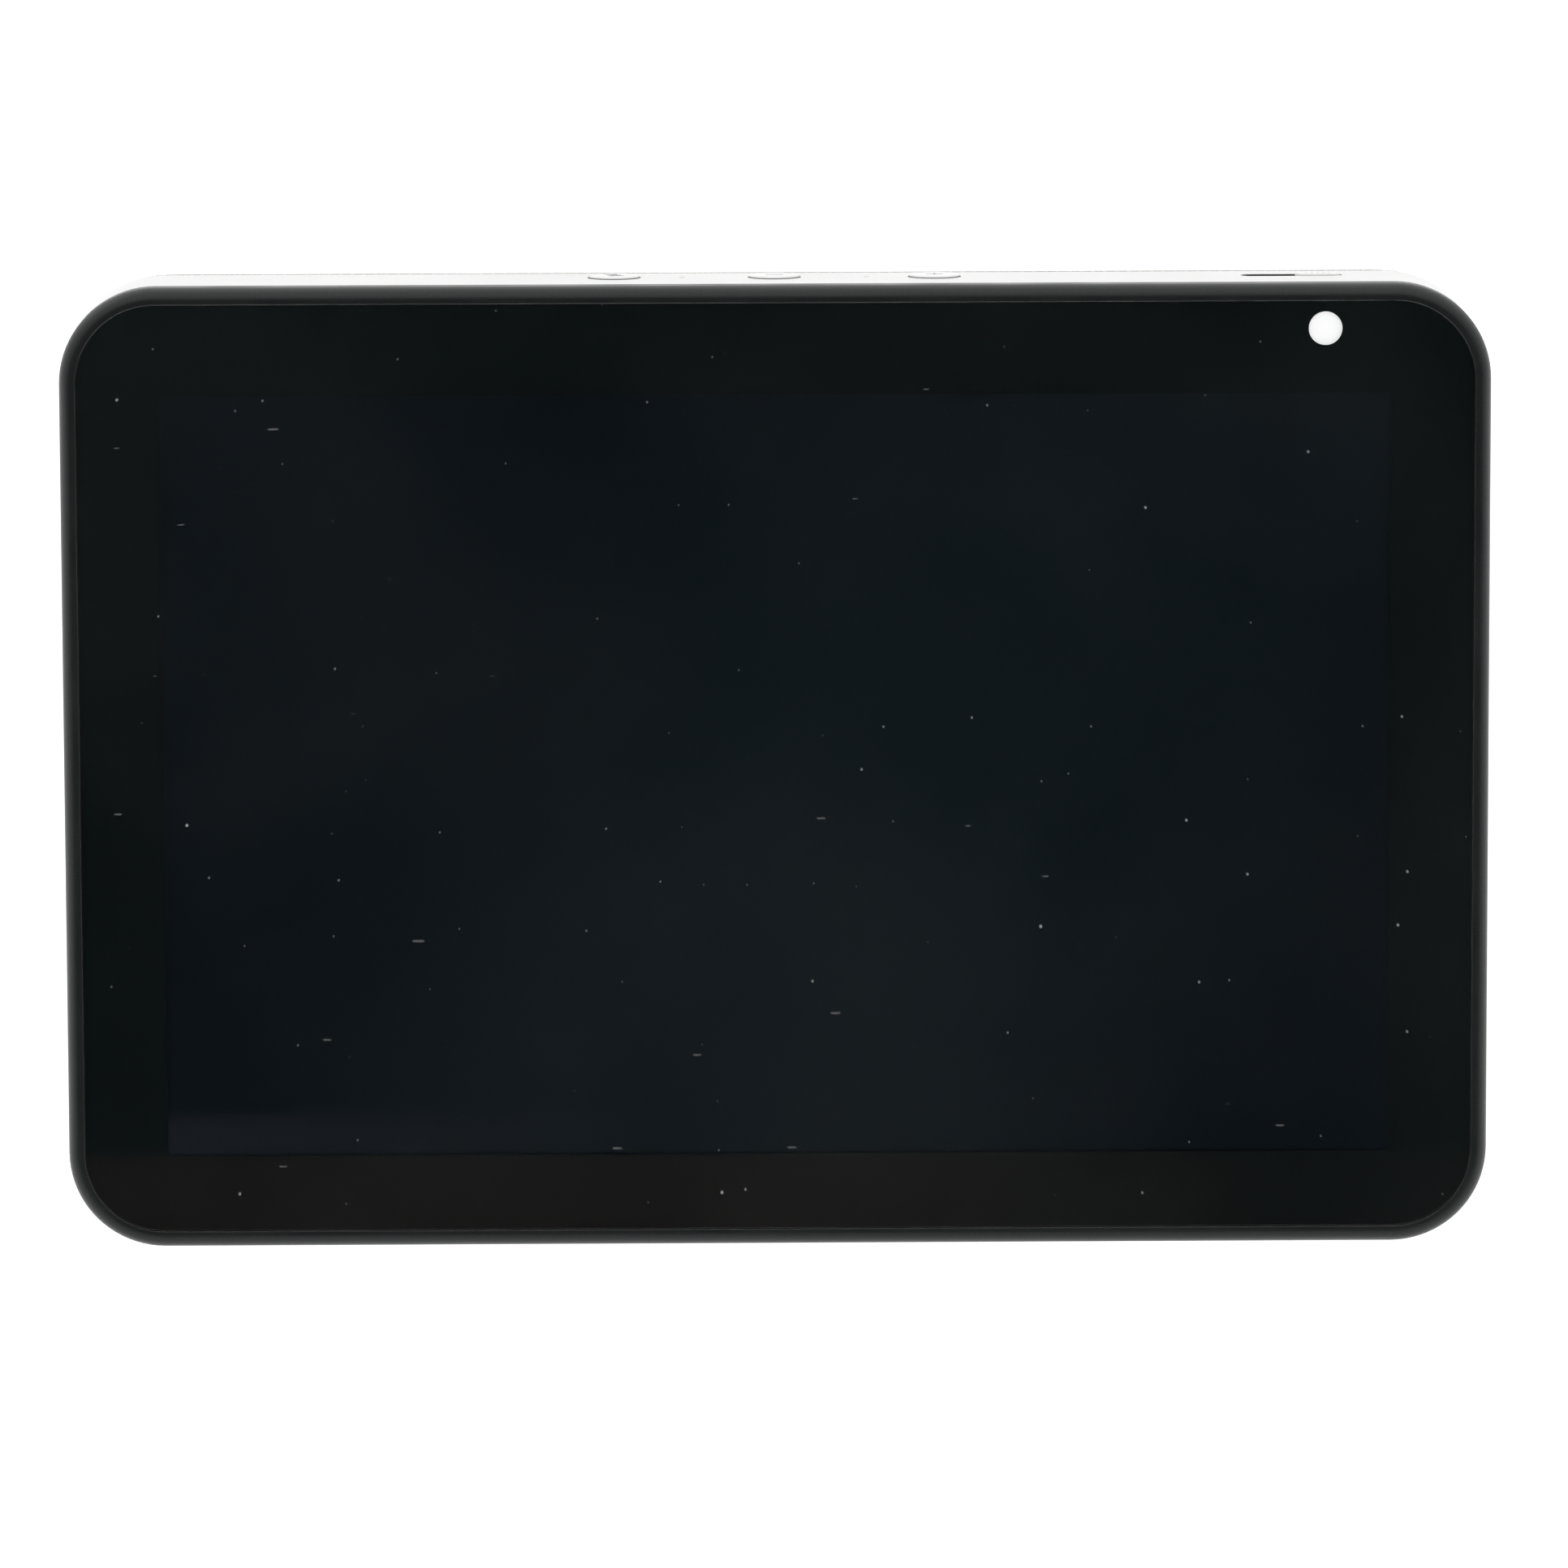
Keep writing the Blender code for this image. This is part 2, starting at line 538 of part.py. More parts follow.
def make_camera():
    half = MODULE_HALF
    module = box("camera_module", (-half, -half, -MODULE_BACK), (half, half, -MODULE_FRONT), BLACK_PLASTIC,
                 SCREEN, (CAMERA_X, CAMERA_Y, 0))
    barrel = cylinder("camera_barrel", LENS_RADIUS + 0.5 * MM, -MODULE_FRONT - 0.5 * MM,
                      -LENS_FRONT - 0.3 * MM, None, SCREEN, (CAMERA_X, CAMERA_Y, 0))
    join_shape(module, barrel)
    pocket = cylinder("lens_pocket", LENS_RADIUS + 0.1 * MM, -LENS_FRONT - 1.2 * MM, 0, None, SCREEN,
                      (CAMERA_X, CAMERA_Y, 0))
    boolean(module, pocket)
    lens = [(0, 0.0), (LENS_RADIUS * 0.5, -0.12 * MM), (LENS_RADIUS * 0.85, -0.4 * MM),
            (LENS_RADIUS * 0.85, -0.9 * MM), (0, -0.9 * MM)]
    smooth(turned("camera_lens", lens, LENS, SCREEN, (CAMERA_X, CAMERA_Y, -LENS_FRONT), closed=False))
    box("camera_bracket", (CAMERA_X - 6 * MM, CAMERA_Y - 9.5 * MM, -MODULE_BACK - GAP - 0.8 * MM),
        (CAMERA_X + 6 * MM, CAMERA_Y - GAP, -MODULE_BACK - GAP), STEEL, SCREEN)


def make_shutter():
    """The knob in the slot, and the white blade that it carries behind the glass."""
    knob = rounded_rectangle(KNOB_LENGTH, KNOB_WIDTH, KNOB_WIDTH / 2 - 0.01 * MM, (KNOB_X, BUTTON_DEPTH), 4)
    slider = as_mesh(plate("shutter_slider", [knob], UNDER_WALL - 0.6 * MM, KNOB_PROUD, WHITE_PLASTIC,
                           TOP_FACE))
    plate_top = UNDER_WALL
    plate_low = UNDER_WALL - 0.9 * MM
    back = BUTTON_DEPTH + SLOT_WIDTH / 2 + 1.6 * MM
    front = MODULE_BACK + GAP + 0.8 * MM + GAP
    carrier = box("slider_carrier", (ARM_LEFT, front, plate_low),
                  (KNOB_X + KNOB_LENGTH / 2 + 0.6 * MM, back, plate_top), None, TOP_FACE)
    join_shape(slider, carrier)
    riser = box("slider_riser", (ARM_LEFT, RING_FRONT + GAP, CAMERA_Y - RING_HALF_HEIGHT + 1.2 * MM),
                (ARM_RIGHT, front + 1 * MM, plate_low + 0.3 * MM), None, TOP_FACE)
    join_shape(slider, riser)
    arm = box("slider_arm", (ARM_LEFT, BLADE_BACK + GAP, CAMERA_Y - RING_HALF_HEIGHT),
              (ARM_RIGHT, front, RING_ARM_TOP), None, TOP_FACE)
    join_shape(slider, arm)
    blade = rounded_rectangle(CAMERA_X + BLADE_HALF - ARM_LEFT, 2 * BLADE_HALF, 0.8 * MM,
                              ((CAMERA_X + BLADE_HALF + ARM_LEFT) / 2, CAMERA_Y), 2)
    plate("shutter_blade", [blade], -BLADE_BACK, -BLADE_FRONT, WHITE_PLASTIC, SCREEN)


# --- Boards and flexes -------------------------------------------------------------------------
MAIN_WIDTH = 120.0 * MM
MAIN_HEIGHT = 72.0 * MM
MAIN_MIDDLE = -4.0 * MM


def make_main_board():
    outline = rounded_rectangle(MAIN_WIDTH, MAIN_HEIGHT, 2 * MM, (0, MAIN_MIDDLE), 2)
    inset = 4 * MM
    holes = [circle(1.5 * MM, (sx * (MAIN_WIDTH / 2 - inset), MAIN_MIDDLE + sy * (MAIN_HEIGHT / 2 - inset)))
             for sx in (-1, 1) for sy in (-1, 1)]
    plate("main_board", [outline, *holes], -BOARD_BACK, -BOARD_FRONT, CIRCUIT, SCREEN)
    back = -BOARD_BACK - GAP
    shields = (("processor_shield", -24 * MM, 4 * MM, 38 * MM, 34 * MM),
               ("radio_shield", 34 * MM, 12 * MM, 26 * MM, 20 * MM))
    for name, x, y, width, height in shields:
        can = rounded_rectangle(width, height, 1 * MM, (x, MAIN_MIDDLE + y), 2)
        plate(name, [can], back - SHIELD_HEIGHT, back, STEEL, SCREEN, rounding=0.3 * MM)


def make_heat_spreader():
    """A finned plate between the chassis and the main board: a comb outline drawn out along X."""
    fins, pitch, fin = 9, 6.0 * MM, 1.6 * MM
    low = MAIN_MIDDLE - fins * pitch / 2
    comb = [(low, -SPREADER_FRONT)]
    root = -SPREADER_FRONT - SPREADER_THICKNESS
    for k in range(fins):
        start = low + k * pitch + (pitch - fin) / 2
        comb[:0] = []
        comb += [(start, root), (start, root - SPREADER_FIN), (start + fin, root - SPREADER_FIN),
                 (start + fin, root)] if k else [(low, root), (start, root), (start, root - SPREADER_FIN),
                                                 (start + fin, root - SPREADER_FIN), (start + fin, root)]
    high = low + fins * pitch
    comb += [(high, root), (high, -SPREADER_FRONT)]
    half = 46.0 * MM
    plate("heat_spreader", [[(y, z) for y, z in comb]], -half, half, ALUMINIUM, SCREEN,
          rotation=(math.radians(90), 0, math.radians(90)))


def ribbon(name, route, width, parent, centre_x):
    """A flat flex circuit: a line in the parent's YZ plane, drawn out along X and given thickness."""
    half = width / 2
    bm = bmesh.new()
    left = [bm.verts.new((centre_x - half, y, z)) for y, z in route]
    right = [bm.verts.new((centre_x + half, y, z)) for y, z in route]
    for k in range(len(route) - 1):
        bm.faces.new((left[k], right[k], right[k + 1], left[k + 1]))
    data = bpy.data.meshes.new(name)
    bm.to_mesh(data)
    bm.free()
    made = add(name, data, COPPER_FLEX, parent)
    thicken = made.modifiers.new("thickness", "SOLIDIFY")
    thicken.thickness = 0.25 * MM
    thicken.offset = 0
    return made


def make_flexes():
    tray_back = -TRAY_FRONT - TRAY_THICKNESS
    tuck = 1.6 * MM
    low = LCD_BOTTOM - 1 * MM
    lcd_mid = -LCD_FRONT - LCD_THICKNESS / 2
    behind = -CHASSIS_BACK - 1.2 * MM
    ribbon("display_flex", [(LCD_BOTTOM - GAP, lcd_mid), (low - tuck, lcd_mid - 1 * MM),
                            (low - tuck, tray_back - GAP / 2), (LCD_BOTTOM + 10 * MM, tray_back - GAP / 2),
                            (LCD_BOTTOM + 12 * MM, behind), (MAIN_MIDDLE - MAIN_HEIGHT / 2 - 1 * MM, behind)],
           34 * MM, SCREEN, 0.0)
    board_low = RING_HALF_HEIGHT + BUTTON_BOARD_TOP - BUTTON_BOARD_THICKNESS - GAP
    ribbon("button_flex", [(board_low - 0.2 * MM, -BUTTON_DEPTH), (board_low - 14 * MM, -BUTTON_DEPTH - 1 * MM),
                           (MAIN_MIDDLE + MAIN_HEIGHT / 2 + 1 * MM, -BOARD_BACK + 0.4 * MM)],
           10 * MM, SCREEN, -12 * MM)
    bracket_back = -MODULE_BACK - 2 * GAP - 0.8 * MM
    ribbon("camera_flex", [(CAMERA_Y - 1 * MM, bracket_back - 0.1 * MM),
                           (CAMERA_Y - 12 * MM, bracket_back - 0.6 * MM),
                           (CAMERA_Y - 30 * MM, bracket_back - 0.6 * MM)],
           6 * MM, SCREEN, CAMERA_X)


# --- Curved body -------------------------------------------------------------------------------
def curve_points(start, start_handle, end_handle, end, count):
    corners = [Vector((*point, 0.0)) for point in (start, start_handle, end_handle, end)]
    return [(p.x, p.y) for p in interpolate_bezier(*corners, count)]


def body_sections():
    """Sections of the fabric body from the ring to the flat back: base Y, top Y and Z, half width, radii.

    Every section stands on the base plane. The first one lies along the ring's rear edge, and they turn
    upright towards the back, so the underside stays flat."""
    front_low_y, _ = on_screen(-RING_HALF_HEIGHT, BODY_FRONT)
    top = on_screen(RING_HALF_HEIGHT, BODY_FRONT)
    run, drop = 24.0 * MM, 50.0 * MM  # how long the top line keeps the ring's slope, and the back's
    handle = (top[0] + run * math.cos(TILT), top[1] - run * math.sin(TILT))
    profile = curve_points(top, handle, (BACK_Y, BACK_HEIGHT + drop), (BACK_Y, BACK_HEIGHT), BODY_STEPS)
    side_run, back_run, back_rise = 48.0 * MM, 22.0 * MM, 16.0 * MM
    plan = curve_points((RING_HALF_WIDTH, front_low_y), (RING_HALF_WIDTH, front_low_y + side_run),
                        (BACK_HALF_WIDTH + back_run, BACK_Y - back_rise), (BACK_HALF_WIDTH, BACK_Y), BODY_STEPS)
    shoulder, back_corner, base_corner = 34.0 * MM, 10.0 * MM, 8.0 * MM
    sections = []
    for k, ((top_y, top_z), (half_width, base_y)) in enumerate(zip(profile, plan)):
        t = k / (BODY_STEPS - 1)
        top_radius = (1 - t) ** 2 * RING_CORNER + 2 * t * (1 - t) * shoulder + t * t * back_corner
        base_radius = (1 - t) ** 2 * RING_CORNER + (1 - (1 - t) ** 2) * base_corner
        sections.append((base_y, top_y, top_z, half_width, top_radius, base_radius))
    return sections


def base_edge(inset):
    """The right edge of the flat underside, as (x, y) from the ring to the back, moved in by inset."""
    edge = [(half_width - base_radius, base_y)
            for base_y, _, _, half_width, _, base_radius in body_sections()]
    moved = []
    for k, (x, y) in enumerate(edge):
        before, after = edge[max(k - 1, 0)], edge[min(k + 1, len(edge) - 1)]
        run = Vector((after[0] - before[0], after[1] - before[1])).normalized()
        if k == len(edge) - 1:
            run = Vector((-1.0, 0.0))
        moved.append((x - run.y * inset, y + run.x * inset))
    return moved


def section_outline(section, hem_end, steps):
    """Points of one section, open along the base, from the left end of its hem round to the right."""
    base_y, top_y, top_z, half_width, top_radius, base_radius = section
    height = math.hypot(top_z - FOOT_HEIGHT, top_y - base_y)
    x = half_width - base_radius
    flat = arc((-x, base_radius), base_radius, 270, 180, steps)
    x_top = half_width - top_radius
    flat += arc((-x_top, height - top_radius), top_radius, 180, 90, steps)
    flat += [(-px, py) for px, py in reversed(flat)]
    lean_y, lean_z = (top_y - base_y) / height, (top_z - FOOT_HEIGHT) / height
    outline = [(px, base_y + py * lean_y, FOOT_HEIGHT + py * lean_z) for px, py in flat]
    hem_x, hem_y = hem_end
    return [(-hem_x, hem_y, FOOT_HEIGHT), *outline, (hem_x, hem_y, FOOT_HEIGHT)]


LEAD = 3.0 * MM  # how far the body's surface is carried forward before it is cut along the ring


def body_surface(hem, steps=CORNER_STEPS):
    """The body's outer surface as a bmesh, open at the ring and along the base, closed at the back."""
    bm = bmesh.new()
    outlines = [section_outline(*pair, steps) for pair in zip(body_sections(), base_edge(hem))]
    forward = (0.0, -LEAD * math.cos(TILT), LEAD * math.sin(TILT))
    lead = [tuple(p + q for p, q in zip(point, forward)) for point in outlines[0]]
    rows = [[bm.verts.new(point) for point in outline] for outline in (lead, *outlines)]
    for a, b in zip(rows, rows[1:]):
        for k in range(len(a) - 1):
            bm.faces.new((a[k], a[k + 1], b[k + 1], b[k]))
    last = rows[-1]
    bm.faces.new(last[1:-1])
    bm.faces.new((last[0], last[1], last[-2], last[-1]))
    bmesh.ops.recalc_face_normals(bm, faces=bm.faces)
    if sum(f.normal.z * f.calc_area() for f in bm.faces) < 0:
        bmesh.ops.reverse_faces(bm, faces=bm.faces)
    return bm


def offset_inwards(bm, distance):
    """Moves a surface in, so that every face round a corner ends up the same distance further in."""
    bm.normal_update()
    moves = []
    for vertex in bm.verts:
        normals = np.array([tuple(face.normal) for face in vertex.link_faces])
        step = np.linalg.lstsq(normals, np.full(len(normals), distance), rcond=0.2)[0]
        moves.append(Vector(step))
    for vertex, step in zip(bm.verts, moves):
        vertex.co = vertex.co - step
    return bm


def shell(name, bm, thickness, finish):
    data = bpy.data.meshes.new(name)
    bm.to_mesh(data)
    bm.free()
    made = add(name, data, finish)
    thicken = made.modifiers.new("thickness", "SOLIDIFY")
    thicken.thickness = thickness
    thicken.offset = -1
    return made


def cut_along_ring(obj):
    """Removes what lies in front of the plane where the body meets the ring."""
    far = 2 * PANEL_WIDTH
    boolean(obj, box(obj.name + "_front_cut", (-far, -far, -BODY_FRONT), (far, far, far), None, SCREEN))


PORT_LOW = FOOT_HEIGHT


def port_window(name, grow, front):
    """A cutter through the back for the port panel, open at the bottom."""
    low, high = PORT_LOW - 6 * MM, PORT_LOW + PORT_HEIGHT + grow
    middle = -(low + high) / 2
    outline = rounded_rectangle(PORT_WIDTH + 2 * grow, high - low, PORT_CORNER + grow, (0, middle), 4)
    return as_mesh(plate(name, [outline], -front, 3 * MM, None, BACK))


def make_fabric_cover():
    cover = shell("fabric_cover", body_surface(HEM), FABRIC_THICKNESS, FABRIC)
    cut_along_ring(cover)
    boolean(cover, port_window("fabric_window", GAP, 12 * MM))


def make_rear_housing():
    bm = offset_inwards(body_surface(HEM - 2 * MM), FABRIC_THICKNESS + GAP)
    housing = shell("rear_housing", bm, SHELL_WALL, SHELL_PLASTIC)
    cut_along_ring(housing)
    boolean(housing, port_window("housing_window", GAP, 12 * MM))
    slots = []
    slot_half, pitch = 2.0 * MM, 8.0 * MM
    for centre in (-DRIVER_X, DRIVER_X):
        for k in range(-2, 3):
            x = centre + k * pitch
            half_height = math.sqrt((DRIVER_RADIUS - 5 * MM) ** 2 - (k * pitch) ** 2)
            slots.append(box("slot", (x - slot_half, -half_height, 3 * MM), (x + slot_half, half_height, 30 * MM),
                             None, BAFFLE))
    for k in range(-1, 2):
        x = k * pitch
        half_height = RADIATOR_HEIGHT / 2 - 3 * MM
        slots.append(box("slot", (x - slot_half, -half_height, 3 * MM), (x + slot_half, half_height, 30 * MM),
                         None, BAFFLE))
    boolean(housing, merged_cutter("grille_slots", slots))


# --- Sound -------------------------------------------------------------------------------------
LEG_X = 50.0 * MM
LEG_FRONT_Y = -17.0 * MM
LEG_BACK_Y = 17.0 * MM
LEGS = [(sx * LEG_X, y) for y in (LEG_FRONT_Y, LEG_BACK_Y) for sx in (-1, 1)]
LEG_RADIUS = 3.4 * MM
BOX_LOW_Z = 26.0 * MM
BOX_HIGH_Z = 103.0 * MM
BOX_FRONT_DEPTH = 19.5 * MM  # behind the glass


def baffle_y(z):
    return BAFFLE_BEHIND_FOOT - (z - DRIVER_Z) * math.tan(BAFFLE_TILT)


def box_profile(inset):
    """The speaker box's side view in world Y and Z: its front is parallel to the screen."""
    def front_y(z):
        depth = BOX_FRONT_DEPTH + inset
        height = (z - PANEL_MID_Z + depth * math.sin(TILT)) / math.cos(TILT)
        return on_screen(height, depth)[0]

    low, high = BOX_LOW_Z + inset, BOX_HIGH_Z - inset
    back = inset / math.cos(BAFFLE_TILT)
    return [(front_y(low), low), (baffle_y(low) - back, low), (baffle_y(high) - back, high),
            (front_y(high), high)]


def side_prism(name, profile, half_width, finish):
    """A side view drawn out along X."""
    return plate(name, [profile], -half_width, half_width, finish,
                 rotation=(math.radians(90), 0, math.radians(90)))


def stadium(width, height):
    return rounded_rectangle(width, height, width / 2 - 0.01 * MM, steps=5)


def make_speaker_box():
    cabinet = as_mesh(side_prism("speaker_box", box_profile(0.0), BOX_HALF_WIDTH, BLACK_PLASTIC))
    posts = [cylinder("leg", LEG_RADIUS, BASE_TOP + GAP, BOX_LOW_Z + 0.5 * MM, None, None, (x, y, 0), sides=12)
             for x, y in LEGS]
    join_shape(cabinet, merged_cutter("box_legs", posts))
    cavity = as_mesh(side_prism("box_cavity", box_profile(BOX_WALL), BOX_HALF_WIDTH - BOX_WALL, None))
    boolean(cabinet, cavity)
    pilots = [cylinder("pilot", SCREW_RADIUS + GAP, 0, 16 * MM, None, None, (x, y, 0), sides=10)
              for x, y in LEGS]
    boolean(cabinet, merged_cutter("box_pilots", pilots))
    reach = 5 * MM
    openings = [cylinder("opening", DRIVER_RADIUS - 2.1 * MM, -reach, reach, None, BAFFLE, (side * DRIVER_X, 0, 0))
                for side in (-1, 1)]
    mouth = plate("mouth", [stadium(RADIATOR_WIDTH, RADIATOR_HEIGHT)], -reach, reach, None, BAFFLE)
    openings.append(as_mesh(mouth))
    boolean(cabinet, merged_cutter("box_openings", openings))


CONE_RADIUS = 19.6 * MM
SURROUND_OUTER = 25.4 * MM
CONE_TRAVEL = 2.0 * MM


def make_driver(side, x):
    """Basket with its magnet, the cone that moves in the magnet's gap, and the roll round the cone."""
    lift = GAP
    basket = [(0, -8 * MM), (7.4 * MM, -8 * MM), (7.4 * MM, -19 * MM), (9.9 * MM, -19 * MM),
              (9.9 * MM, -10.4 * MM), (14 * MM, -10.4 * MM), (23 * MM, -1.4 * MM), (23 * MM, 1.6 * MM),
              (DRIVER_RADIUS, 1.6 * MM), (DRIVER_RADIUS, 0), (24.4 * MM, 0), (24.4 * MM, -2 * MM),
              (15.5 * MM, -11 * MM), (15.5 * MM, -DRIVER_DEPTH), (0, -DRIVER_DEPTH)]
    place = (x, 0, lift)
    smooth(turned(side + "_driver_basket", basket, STEEL, BAFFLE, place, closed=False))
    rise = 1.9 * MM
    cone = [(0, -2.2 * MM), (4.6 * MM, -2.8 * MM), (8.6 * MM, -4.8 * MM), (CONE_RADIUS, rise + 0.5 * MM),
            (CONE_RADIUS, rise), (9.2 * MM, -5.4 * MM), (9.2 * MM, -15 * MM), (8.3 * MM, -15 * MM),
            (8.3 * MM, -5.6 * MM), (4.4 * MM, -3.5 * MM), (0, -2.9 * MM)]
    smooth(turned(side + "_driver_cone", cone, CONE, BAFFLE, place, closed=False))
    inner = CONE_RADIUS + SLIDE_GAP
    base = 1.6 * MM + GAP
    roll = (SURROUND_OUTER - inner) / 2 - 0.6 * MM
    crown = arc((inner + roll, base + 0.5 * MM), roll, 180, 0, 5)
    surround = [(inner, base), *crown, (SURROUND_OUTER, base + 0.5 * MM), (SURROUND_OUTER, base)]
    smooth(turned(side + "_driver_surround", surround, RUBBER, BAFFLE, place))


def make_radiator():
    """The passive radiator between the drivers: a weighted plate in a rubber ring on the baffle."""
    grow = 3.0 * MM
    width, height = RADIATOR_WIDTH - 8 * MM, RADIATOR_HEIGHT - 8 * MM
    ring = [stadium(RADIATOR_WIDTH + 2 * grow, RADIATOR_HEIGHT + 2 * grow),
            stadium(width + 2 * SLIDE_GAP, height + 2 * SLIDE_GAP)]
    plate("radiator_surround", ring, GAP, 1.6 * MM, RUBBER, BAFFLE)
    plate("radiator_plate", [stadium(width, height)], -0.4 * MM, 1.8 * MM, ALUMINIUM, BAFFLE)


# --- Base, foot, weight and ports ---------------------------------------------------------------
def width_at(edge, y):
    """X of a line of (x, y) points at a given y."""
    for (x0, y0), (x1, y1) in zip(edge, edge[1:]):
        if y0 <= y <= y1:
            return x0 + (x1 - x0) * (y - y0) / (y1 - y0)
    return edge[-1][0]


def base_outline(inset):
    """The flat part of the underside inside the fabric's hem, as an outline in X and Y."""
    edge = base_edge(inset)
    front, back = edge[0][1] + 0.5 * MM, BACK_Y - inset
    right = [(x, y) for x, y in edge if front < y < back]
    tongue = PORT_WIDTH / 2
    tongue_end = BACK_Y - PORT_SET_IN - PORT_THICKNESS - GAP
    right = [(width_at(edge, front), front), *right, (edge[-1][0], back), (tongue, back), (tongue, tongue_end)]
    return right + [(-x, y) for x, y in reversed(right)]


def make_base():
    base = as_mesh(plate("base_plate", [base_outline(HEM + GAP)], FOOT_HEIGHT, BASE_TOP, WHITE_PLASTIC))
    recess = rounded_rectangle(FOOT_WIDTH + 2 * GAP, FOOT_LENGTH + 2 * GAP, FOOT_CORNER + GAP)
    pocket = as_mesh(plate("foot_recess", [recess], 0, FOOT_HEIGHT + FOOT_RECESS, None))
    boolean(base, pocket)
    head_room = FOOT_HEIGHT + FOOT_RECESS + SCREW_HEAD_HEIGHT + GAP
    seats = [cylinder("seat", SCREW_HEAD_RADIUS + GAP, FOOT_HEIGHT, head_room, None, None, (x, y, 0), sides=12)
             for x, y in LEGS]
    boolean(base, merged_cutter("screw_seats", seats))
    holes = [cylinder("hole", SCREW_RADIUS + GAP, FOOT_HEIGHT, BASE_TOP + 1 * MM, None, None, (x, y, 0), sides=10)
             for x, y in LEGS]
    boolean(base, merged_cutter("screw_holes", holes))
    foot = rounded_rectangle(FOOT_WIDTH, FOOT_LENGTH, FOOT_CORNER)
    plate("rubber_foot", [foot], 0, FOOT_HEIGHT + FOOT_RECESS - GAP, RUBBER, rounding=0.4 * MM)
    slab = rounded_rectangle(86 * MM, 34 * MM, 3 * MM, (0, -4 * MM), 2)
    plate("steel_weight", [slab], BASE_TOP + GAP, BASE_TOP + GAP + WEIGHT_THICKNESS, STEEL)


def make_screw(name, head_low, length, parent, place, flipped):
    """A cap screw. Its head starts at head_low and its shank runs on from it."""
    shank_end = SCREW_HEAD_HEIGHT + length
    socket = 0.9 * MM
    profile = [(0, shank_end), (SCREW_RADIUS, shank_end), (SCREW_RADIUS, SCREW_HEAD_HEIGHT),
               (SCREW_HEAD_RADIUS, SCREW_HEAD_HEIGHT), (SCREW_HEAD_RADIUS, 0), (socket, 0),
               (socket, 0.5 * MM), (0, 0.5 * MM)]
    turn = (math.radians(180), 0, 0) if flipped else (0, 0, 0)
    turned(name, profile, STEEL, parent, (*place, head_low), turn, steps=12, closed=False)


def make_screws():
    chassis_length = BOSS_BACK - CHASSIS_FRONT - 0.2 * MM
    base_length = 9.0 * MM
    for k, (place, leg) in enumerate(zip(BOSS_CORNERS, LEGS), start=1):
        make_screw(f"chassis_screw_{k}", -BOSS_BACK - GAP - SCREW_HEAD_HEIGHT, chassis_length, SCREEN, place,
                   False)
        make_screw(f"base_screw_{k}", FOOT_HEIGHT + FOOT_RECESS, base_length, None, leg, False)


IO_BOARD_Z = 7.6 * MM
DC_X, USB_X, AUDIO_X = 18.0 * MM, -1.0 * MM, -18.0 * MM
DC_RADIUS = 4.4 * MM
AUDIO_RADIUS = 3.4 * MM


def make_ports():
    axis = -PORT_AXIS_Z
    middle = -(PORT_LOW + PORT_HEIGHT / 2)
    panel = rounded_rectangle(PORT_WIDTH, PORT_HEIGHT, PORT_CORNER, (0, middle), 4)
    usb_hole = rounded_rectangle(8.4 * MM, 3.6 * MM, 1 * MM, (USB_X, axis), 2)
    openings = [circle(DC_RADIUS + GAP, (DC_X, axis), 16), usb_hole, circle(AUDIO_RADIUS + GAP, (AUDIO_X, axis), 16)]
    back = -PORT_SET_IN
    plate("port_panel", [panel, *openings], back - PORT_THICKNESS, back, WHITE_PLASTIC, BACK)
    front = -PORT_SET_IN - 0.3 * MM
    depth = 12.0 * MM
    jack = [(0, front - 1.2 * MM), (DC_PIN * 0.6, front - 1.2 * MM), (DC_PIN, front - 1.8 * MM),
            (DC_PIN, front - 10 * MM), (DC_BORE, front - 10 * MM), (DC_BORE, front), (DC_RADIUS, front),
            (DC_RADIUS, front - depth), (0, front - depth)]
    turned("dc_jack", jack, BLACK_PLASTIC, BACK, (DC_X, axis, 0), steps=16, closed=False)
    socket = [(0, front - 11 * MM), (AUDIO_BORE, front - 11 * MM), (AUDIO_BORE, front), (AUDIO_RADIUS, front),
              (AUDIO_RADIUS, front - depth), (0, front - depth)]
    turned("audio_jack", socket, BLACK_PLASTIC, BACK, (AUDIO_X, axis, 0), steps=16, closed=False)
    outer = rounded_rectangle(7.6 * MM, 2.9 * MM, 0.7 * MM, (USB_X, axis), 2)
    inner = rounded_rectangle(7.0 * MM, 2.3 * MM, 0.4 * MM, (USB_X, axis), 2)
    usb = as_mesh(plate("micro_usb_port", [outer], front - 6 * MM, front, STEEL, BACK))
    boolean(usb, as_mesh(plate("usb_cavity", [inner], front - 5.2 * MM, front + 1 * MM, None, BACK)))
    tongue = box("usb_tongue", (USB_X - 2.6 * MM, axis - 0.75 * MM, front - 5.6 * MM),
                 (USB_X + 2.6 * MM, axis - 0.05 * MM, front - 0.8 * MM), None, BACK)
    join_shape(usb, tongue)
    top = PORT_AXIS_Z - DC_RADIUS - GAP
    inside = BACK_Y - PORT_SET_IN - PORT_THICKNESS - 1 * MM
    box("io_board", (-29 * MM, inside - 20 * MM, top - BOARD_THICKNESS), (29 * MM, inside, top), CIRCUIT)


# --- The whole object --------------------------------------------------------------------------
def make_display():
    make_cover_glass()
    make_front_frame()
    make_display_stack()
    make_display_chassis()
    make_housing_ring()
    for name, place in BUTTONS:
        make_button(name, place * BUTTON_SPACING)
    for side, sign in (("left", -1), ("right", 1)):
        make_microphone(side, sign * MIC_OFFSET)
        make_driver(side, sign * DRIVER_X)
    make_button_board()
    make_camera()
    make_shutter()
    make_main_board()
    make_heat_spreader()
    make_flexes()
    make_fabric_cover()
    make_rear_housing()
    make_speaker_box()
    make_radiator()
    make_base()
    make_screws()
    make_ports()


make_display()
